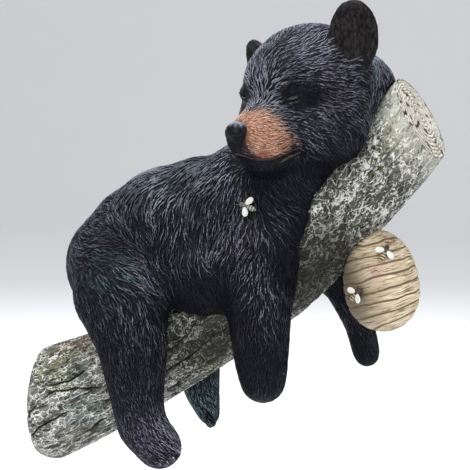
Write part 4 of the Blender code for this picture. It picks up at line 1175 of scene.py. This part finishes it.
class SCULPTURE_OT_hive(Operator):
    """The hive, wound in wraps of straw, and its door"""

    bl_idname = "sculpture.hive"
    bl_label = "Hive"

    def execute(self, context):
        hive = context.scene.sculpture_hive
        deselect()
        bpy.ops.mesh.primitive_uv_sphere_add(segments=144, ring_count=150, radius=1.0)
        wound = named("wound_hive")
        points = points_of(wound.data)
        place = Matrix.Translation(hive_place()) @ Matrix.Rotation(HIVE_LEAN, 4, "Y")
        turn = np.arctan2(points[:, 1], points[:, 0])
        latitude = np.arcsin(np.clip(points[:, 2], -1, 1)) / (math.pi / 2)
        height = np.sin(latitude * math.pi / 2)
        egg = np.sqrt(np.maximum(0, 1 - np.abs(height) ** 2.3)) * (1 - 0.07 * height)
        ring = np.stack([np.cos(turn), np.sin(turn), height * 2.2], axis=1)
        drift = 0.55 * ripple(ring, 0.9) + 0.20 * ripple(ring, 2.6, 2.0)
        phase = HIVE_WRAPS * (height + 1) / 2 + 0.50 * drift - (0.40 - 0.25 * height) * np.cos(turn)
        wrap = 0.5 - 0.5 * np.cos(2 * math.pi * phase)
        groove = 1 - np.minimum(1, wrap * 6.5)
        strands = 0.5 + 0.5 * np.cos(2 * math.pi * (phase * 4 + 0.6 * ripple(ring, 3.5, 4.0)))
        bumpy = ripple(ring, 7.0, 1.0)
        ends = np.minimum(1.0, 2.5 * egg)
        depth = hive.groove_depth * (0.60 * groove + 0.30 * (1 - wrap) ** 2) + 0.0003 * strands - 0.00025 * bumpy
        radius = HIVE_DIAMETER / 2 * egg - depth * ends
        radius[egg < 0.02] = 0
        points = np.stack([radius * np.cos(turn), radius * np.sin(turn), height * HIVE_HEIGHT / 2], axis=1)
        set_points(wound.data, points)
        store(wound.data, "groove", np.clip(groove, 0, 1))
        store(wound.data, "strand", strands)
        store_vectors(wound.data, "wrap", np.stack([np.cos(turn) * 0.03, np.sin(turn) * 0.03, phase * 0.01], axis=1))
        merge(wound, 1e-6)
        settle(wound, place)
        tree = surface_of(wound.data)
        way = Vector((math.cos(math.radians(-89)), math.sin(math.radians(-89)), 0))
        start = hive_place() + Vector((0, 0, 0.13 * HIVE_HEIGHT))
        hit, normal, _, _ = tree.ray_cast(start + way * HIVE_DIAMETER, -way)
        paint = self.paint(hive, hit)
        dress(wound, paint, "hive")
        deselect()
        bpy.ops.mesh.primitive_torus_add(major_segments=40, minor_segments=12, major_radius=hive.door + 0.0006, minor_radius=0.0009)
        rim = named("door_rim")
        lumps = points_of(rim.data)
        lumps *= (1 + 0.10 * ripple(lumps, 700.0))[:, None]
        lumps[:, 0] *= 1.25
        set_points(rim.data, lumps)
        # A squashed dark ball sunk into the door: a painted shadow in the opening.
        deselect()
        bpy.ops.mesh.primitive_uv_sphere_add(segments=32, ring_count=16, radius=hive.door + 0.0003)
        door_shadow = named("door_painted_shadow")
        hollow = points_of(door_shadow.data)
        hollow[:, 2] = np.where(hollow[:, 2] > 0, -0.35 * hollow[:, 2], 0.5 * hollow[:, 2]) - 0.0001
        hollow[:, 0] *= 1.2
        set_points(door_shadow.data, hollow)
        frame_at = Matrix.Translation(hit) @ normal.to_track_quat("Z", "Y").to_matrix().to_4x4()
        settle(rim, frame_at)
        settle(door_shadow, frame_at @ Matrix.Translation((0, 0, 0.0006)))
        rim_paint = Paint("door_rim", 0.7)
        tone = rim_paint.cloud(rim_paint.place(), 600.0, 3.0).step(0.35, 0.7)
        rim_paint.finish("Base Color", rim_paint.mix(tone, (0.30, 0.165, 0.125), (0.60, 0.42, 0.34)))
        rim_paint.finish("Normal", rim_paint.bump(tone, 0.0003, 0.6))
        dress(rim, rim_paint.material, "hive")
        door_shadow_paint = Paint("door_painted_shadow", 0.8)
        tone = door_shadow_paint.cloud(door_shadow_paint.place(), 800.0, 2.0)
        door_shadow_paint.finish("Base Color", door_shadow_paint.mix(tone, (0.010, 0.007, 0.004), (0.030, 0.018, 0.010)))
        dress(door_shadow, door_shadow_paint.material, "hive")
        return {"FINISHED"}

    def paint(self, hive, door):
        paint = Paint("straw_paint", 0.72)
        place = paint.place()
        wrap = paint.kept("wrap", "Vector")
        groove, strand = paint.kept("groove"), paint.kept("strand")
        fibres = paint.cloud(paint.stretched(wrap, (0.35, 0.35, 4.0)), 190.0, 4.0, 0.6)
        tone = paint.cloud(place, 60.0, 3.0)
        straw = paint.mix(tone.step(0.38, 0.66) * 0.7, hive.straw, (0.45, 0.355, 0.21))
        straw = paint.mix(paint.cloud(paint.shifted(place, (0.4, 0.2, 0.3)), 75.0, 2.0).step(0.52, 0.68) * 0.6, straw, (0.50, 0.34, 0.22))
        straw = paint.mix(fibres.step(0.52, 0.68) * 0.8, straw, (0.86, 0.78, 0.62))
        straw = paint.mix(fibres.step(0.49, 0.36) * 0.9, straw, (0.120, 0.080, 0.036))
        # Darker towards the hive's left side: painted shade.
        straw = paint.mix(paint.near(place, (0.262, -0.018, 0.106), 0.060) * 0.95, straw, (0.120, 0.098, 0.058))
        straw = paint.mix(paint.near(place, tuple(door), 0.011) * 0.55, straw, (0.58, 0.40, 0.31))
        shade = (groove * (fibres * 0.8 + 0.55)).step(0.25, 0.85)
        straw = paint.mix(strand.step(0.35, 0.0) * 0.30, straw, hive.groove)
        paint.finish("Base Color", paint.mix(shade, straw, hive.groove))
        paint.finish("Roughness", 0.60 + fibres * 0.25)
        paint.finish("Normal", paint.bump(fibres * 0.8 + strand * 0.4, 0.0009, 0.9))
        return paint.material


# The bees


class SCULPTURE_OT_bees(Operator):
    """The three bees"""

    bl_idname = "sculpture.bees"
    bl_label = "Bees"

    def ball(self, centre, radii, segments=24):
        deselect()
        bpy.ops.mesh.primitive_uv_sphere_add(segments=segments, ring_count=segments // 2, radius=1.0, location=centre, scale=radii)
        made = bpy.context.object
        bpy.ops.object.transform_apply(location=True, rotation=True, scale=True)
        return made

    def model(self):
        """A bee along +X with its feet on the plane Z = 0, in units of its body's length."""
        parts = {"body": [], "wings": [], "legs": []}
        abdomen = self.ball((-0.22, 0, 0.20), (0.30, 0.165, 0.155), 32)
        points = points_of(abdomen.data)
        bands = 0.5 + 0.5 * np.cos(2 * math.pi * (points[:, 0] + 0.52) / 0.150)
        points[:, 1:] = np.array((0, 0.20)) + (points[:, 1:] - np.array((0, 0.20))) * (1 - 0.10 * (1 - bands))[:, None]
        set_points(abdomen.data, points)
        store(abdomen.data, "band", bands)
        thorax = self.ball((0.12, 0, 0.235), (0.185, 0.165, 0.165), 24)
        store(thorax.data, "band", np.full(len(thorax.data.vertices), 0.35))
        head = self.ball((0.335, 0, 0.205), (0.125, 0.145, 0.13), 24)
        store(head.data, "band", np.zeros(len(head.data.vertices)))
        parts["body"] += [abdomen, thorax, head]
        for side in (1, -1):
            for place, turn, length, width in (((0.10, 0.07), 62, 0.54, 0.160), ((0.04, 0.07), 74, 0.38, 0.110)):
                wing = self.ball((0, 0, 0), (0.5, 0.5, 0.5), 24)
                points = points_of(wing.data)
                blunt = 1 + 0.35 * points[:, 0]
                points = np.stack([(points[:, 0] + 0.5) * length, points[:, 1] * 2 * width * blunt, points[:, 2] * 0.085 + 0.012 * np.sin(points[:, 1] * 14)], axis=1)
                set_points(wing.data, points)
                angle = math.radians(180 - turn)
                wing.matrix_world = Matrix.Translation((place[0], side * place[1], 0.345)) @ Matrix.Rotation(side * angle, 4, "Z") @ Matrix.Rotation(math.radians(-4), 4, "Y")
                settle(wing)
                parts["wings"].append(wing)
            for x, reach in ((0.20, 0.16), (0.10, -0.02), (0.00, -0.20)):
                knee = Vector((x + 0.6 * reach, side * 0.26, 0.22))
                foot = Vector((x + reach, side * 0.36, 0.015))
                parts["legs"].append(welt("leg", [Vector((x, side * 0.08, 0.16)), knee, knee * 0.5 + foot * 0.5, foot], [0.030, 0.026, 0.020, 0.014], "leg"))
            parts["legs"].append(welt("feeler", [Vector((0.42, side * 0.04, 0.27)), Vector((0.50, side * 0.09, 0.34)), Vector((0.60, side * 0.12, 0.33))], [0.018, 0.015, 0.012], "leg"))
        for leg in parts["legs"]:
            store(leg.data, "band", np.zeros(len(leg.data.vertices)))
        body = join(parts["body"] + parts["legs"], "bee_body")
        wings = join(parts["wings"], "bee_wings")
        return body, wings

    def seat(self, node_surface, start, out, heading):
        hit, normal, _, _ = node_surface.ray_cast(start, -out)
        up = normal.normalized()
        ahead = (heading - up * heading.dot(up)).normalized()
        turned = Matrix((ahead, up.cross(ahead), up)).transposed().to_4x4()
        return Matrix.Translation(hit + up * 0.0003) @ turned @ Matrix.Scale(BEE_SIZE, 4)

    def execute(self, context):
        bees = context.scene.sculpture_bees
        body, wings = self.model()
        toward = Vector((0.24, -0.97, 0)).normalized()
        centre = hive_place()
        solids = {name: surface_of(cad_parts[name].data) for name in ("bear_cub", "hive")}
        seats = {
            "bee_on_shoulder": self.seat(solids["bear_cub"], cub_matrix() @ Vector((101, -150, 74)), toward, Vector((-0.94, 0, 0.34))),
            "bee_on_hive_top": self.seat(solids["hive"], centre + Vector((0, 0, 0.30 * HIVE_HEIGHT)) + toward * HIVE_DIAMETER, toward, Vector((0.45, 0, 0.9))),
            "bee_on_hive_side": self.seat(solids["hive"], centre + Vector((-0.33 * HIVE_DIAMETER, 0, -0.10 * HIVE_HEIGHT)) + toward * HIVE_DIAMETER, toward, Vector((0.7, 0, 0.7))),
        }
        band_paint = self.paint("bee_bands", bees.dark, bees.band)
        grey_paint = self.paint("bee_grey", (0.10, 0.10, 0.085), (0.42, 0.42, 0.38))
        wing_paint = Paint("bee_wing", 0.45)
        veins = wing_paint.cloud(wing_paint.place(), 900.0, 3.0)
        wing_paint.finish("Base Color", wing_paint.mix(veins.step(0.40, 0.25) * 0.6, bees.wing, (0.45, 0.43, 0.38)))
        wing_paint.finish("Normal", wing_paint.bump(veins, 0.0002, 0.5))
        for name, at in seats.items():
            short = name.replace("bee_on_", "")
            dress(settle(copy_of(body, "bee_body_" + short), at), grey_paint if short == "shoulder" else band_paint, name)
            dress(settle(copy_of(wings, "bee_wings_" + short), at), wing_paint.material, name)
        bpy.data.objects.remove(body)
        bpy.data.objects.remove(wings)
        return {"FINISHED"}

    def paint(self, name, dark, light):
        paint = Paint(name, 0.42)
        band = paint.kept("band")
        fuzz = paint.cloud(paint.place(), 1400.0, 3.0)
        paint.finish("Base Color", paint.mix((band + fuzz * 0.35).step(0.55, 0.95), dark, light))
        paint.finish("Normal", paint.bump(fuzz, 0.0003, 0.6))
        return paint.material


# The studio


class SCULPTURE_OT_stage(Operator):
    """Camera, floor and lights"""

    bl_idname = "sculpture.stage"
    bl_label = "Stage"

    def execute(self, context):
        stage = context.scene.sculpture_stage
        eye, target = Vector(stage.eye), Vector(stage.target)
        camera = bpy.data.cameras.new("camera")
        camera.lens = stage.lens
        camera.sensor_width = 36.0
        camera.clip_start, camera.clip_end = 0.05, 30.0
        seen = bpy.data.objects.new("camera", camera)
        context.scene.collection.objects.link(seen)
        seen.matrix_world = Matrix.Translation(eye) @ (target - eye).to_track_quat("-Z", "Y").to_matrix().to_4x4()
        context.scene.camera = seen
        lowest = CAD_BOX[0].z - stage.drop
        deselect()
        bpy.ops.mesh.primitive_plane_add(size=1.0, location=(0.17, 1.0, lowest), scale=(1, 1, 1))
        floor = named("floor")
        bpy.ops.object.mode_set(mode="EDIT")
        bpy.ops.transform.resize(value=(14.0, 9.0, 1.0))
        bpy.ops.mesh.select_mode(type="EDGE")
        bpy.ops.mesh.select_all(action="DESELECT")
        bpy.ops.object.mode_set(mode="OBJECT")
        for edge in floor.data.edges:
            edge.select = all(floor.data.vertices[v].co.y > 0 for v in edge.vertices)
        bpy.ops.object.mode_set(mode="EDIT")
        bpy.ops.mesh.extrude_region_move(TRANSFORM_OT_translate={"value": (0, 0, 6.0)})
        bpy.ops.object.mode_set(mode="OBJECT")
        finish_with(floor, "BEVEL", width=2.0, segments=24, limit_method="ANGLE")
        take(floor)
        bpy.ops.object.shade_smooth()
        paint = Paint("studio_floor", 0.9)
        tone = paint.cloud(paint.place(), 3.0, 2.0)
        paint.finish("Base Color", paint.mix(tone * 0.1, stage.floor, (0.80, 0.80, 0.80)))
        floor.data.materials.append(paint.material)
        for name, place, size, power, colour in (
            ("sky", (0.10, -0.25, 1.75), 1.4, 34.0, (0.93, 0.96, 1.0)),
            ("front", (-0.75, -1.55, 0.95), 1.0, 13.0, (1.0, 0.985, 0.96)),
            ("side", (1.45, -0.85, 0.75), 0.9, 6.0, (1.0, 0.98, 0.95)),
            ("back", (-0.2, 1.5, 1.1), 1.2, 12.0, (0.95, 0.97, 1.0)),
        ):
            light = bpy.data.lights.new(name, "AREA")
            light.size, light.energy, light.color = size, power, colour
            lamp = bpy.data.objects.new(name, light)
            context.scene.collection.objects.link(lamp)
            lamp.matrix_world = Matrix.Translation(place) @ (target - Vector(place)).to_track_quat("-Z", "Y").to_matrix().to_4x4()
        world = bpy.data.worlds.new("studio")
        context.scene.world = world
        world.use_nodes = True
        world.node_tree.nodes["Background"].inputs["Color"].default_value = (0.95, 0.97, 1.0, 1)
        world.node_tree.nodes["Background"].inputs["Strength"].default_value = 0.62
        context.scene.view_settings.view_transform = "Standard"
        return {"FINISHED"}


PIECES = (SCULPTURE_OT_skin, SCULPTURE_OT_fur, SCULPTURE_OT_face, SCULPTURE_OT_claws, SCULPTURE_OT_branch, SCULPTURE_OT_hive, SCULPTURE_OT_bees, SCULPTURE_OT_stage)
SETTINGS = {"sculpture_fur": SculptureFur, "sculpture_bark": SculptureBark, "sculpture_hive": SculptureHive, "sculpture_bees": SculptureBees, "sculpture_stage": SculptureStage}


class SCULPTURE_PT_panel(Panel):
    """Lists the sculpture's settings and pieces"""

    bl_idname = "SCULPTURE_PT_panel"
    bl_label = "Sculpture"
    bl_space_type = "VIEW_3D"
    bl_region_type = "UI"
    bl_category = "Sculpture"

    def draw(self, context):
        for setting in SETTINGS:
            group = getattr(context.scene, setting)
            box = self.layout.box()
            box.label(text=setting.replace("sculpture_", "").capitalize())
            for name in group.bl_rna.properties.keys():
                if name not in ("rna_type", "name"):
                    box.prop(group, name)
        for piece in PIECES:
            self.layout.operator(piece.bl_idname)


def register():
    for group in SETTINGS.values():
        bpy.utils.register_class(group)
    for setting, group in SETTINGS.items():
        setattr(bpy.types.Scene, setting, PointerProperty(type=group))
    for piece in (*PIECES, SCULPTURE_PT_panel):
        bpy.utils.register_class(piece)


def unregister():
    for piece in reversed((*PIECES, SCULPTURE_PT_panel)):
        bpy.utils.unregister_class(piece)
    for setting in SETTINGS:
        delattr(bpy.types.Scene, setting)
    for group in reversed(SETTINGS.values()):
        bpy.utils.unregister_class(group)


def main():
    register()
    bpy.ops.sculpture.skin()
    bpy.ops.sculpture.fur()
    bpy.ops.sculpture.face()
    bpy.ops.sculpture.claws()
    bpy.ops.sculpture.branch()
    bpy.ops.sculpture.hive()
    bpy.ops.sculpture.bees()
    bpy.ops.sculpture.stage()


if __name__ == "__main__":
    main()
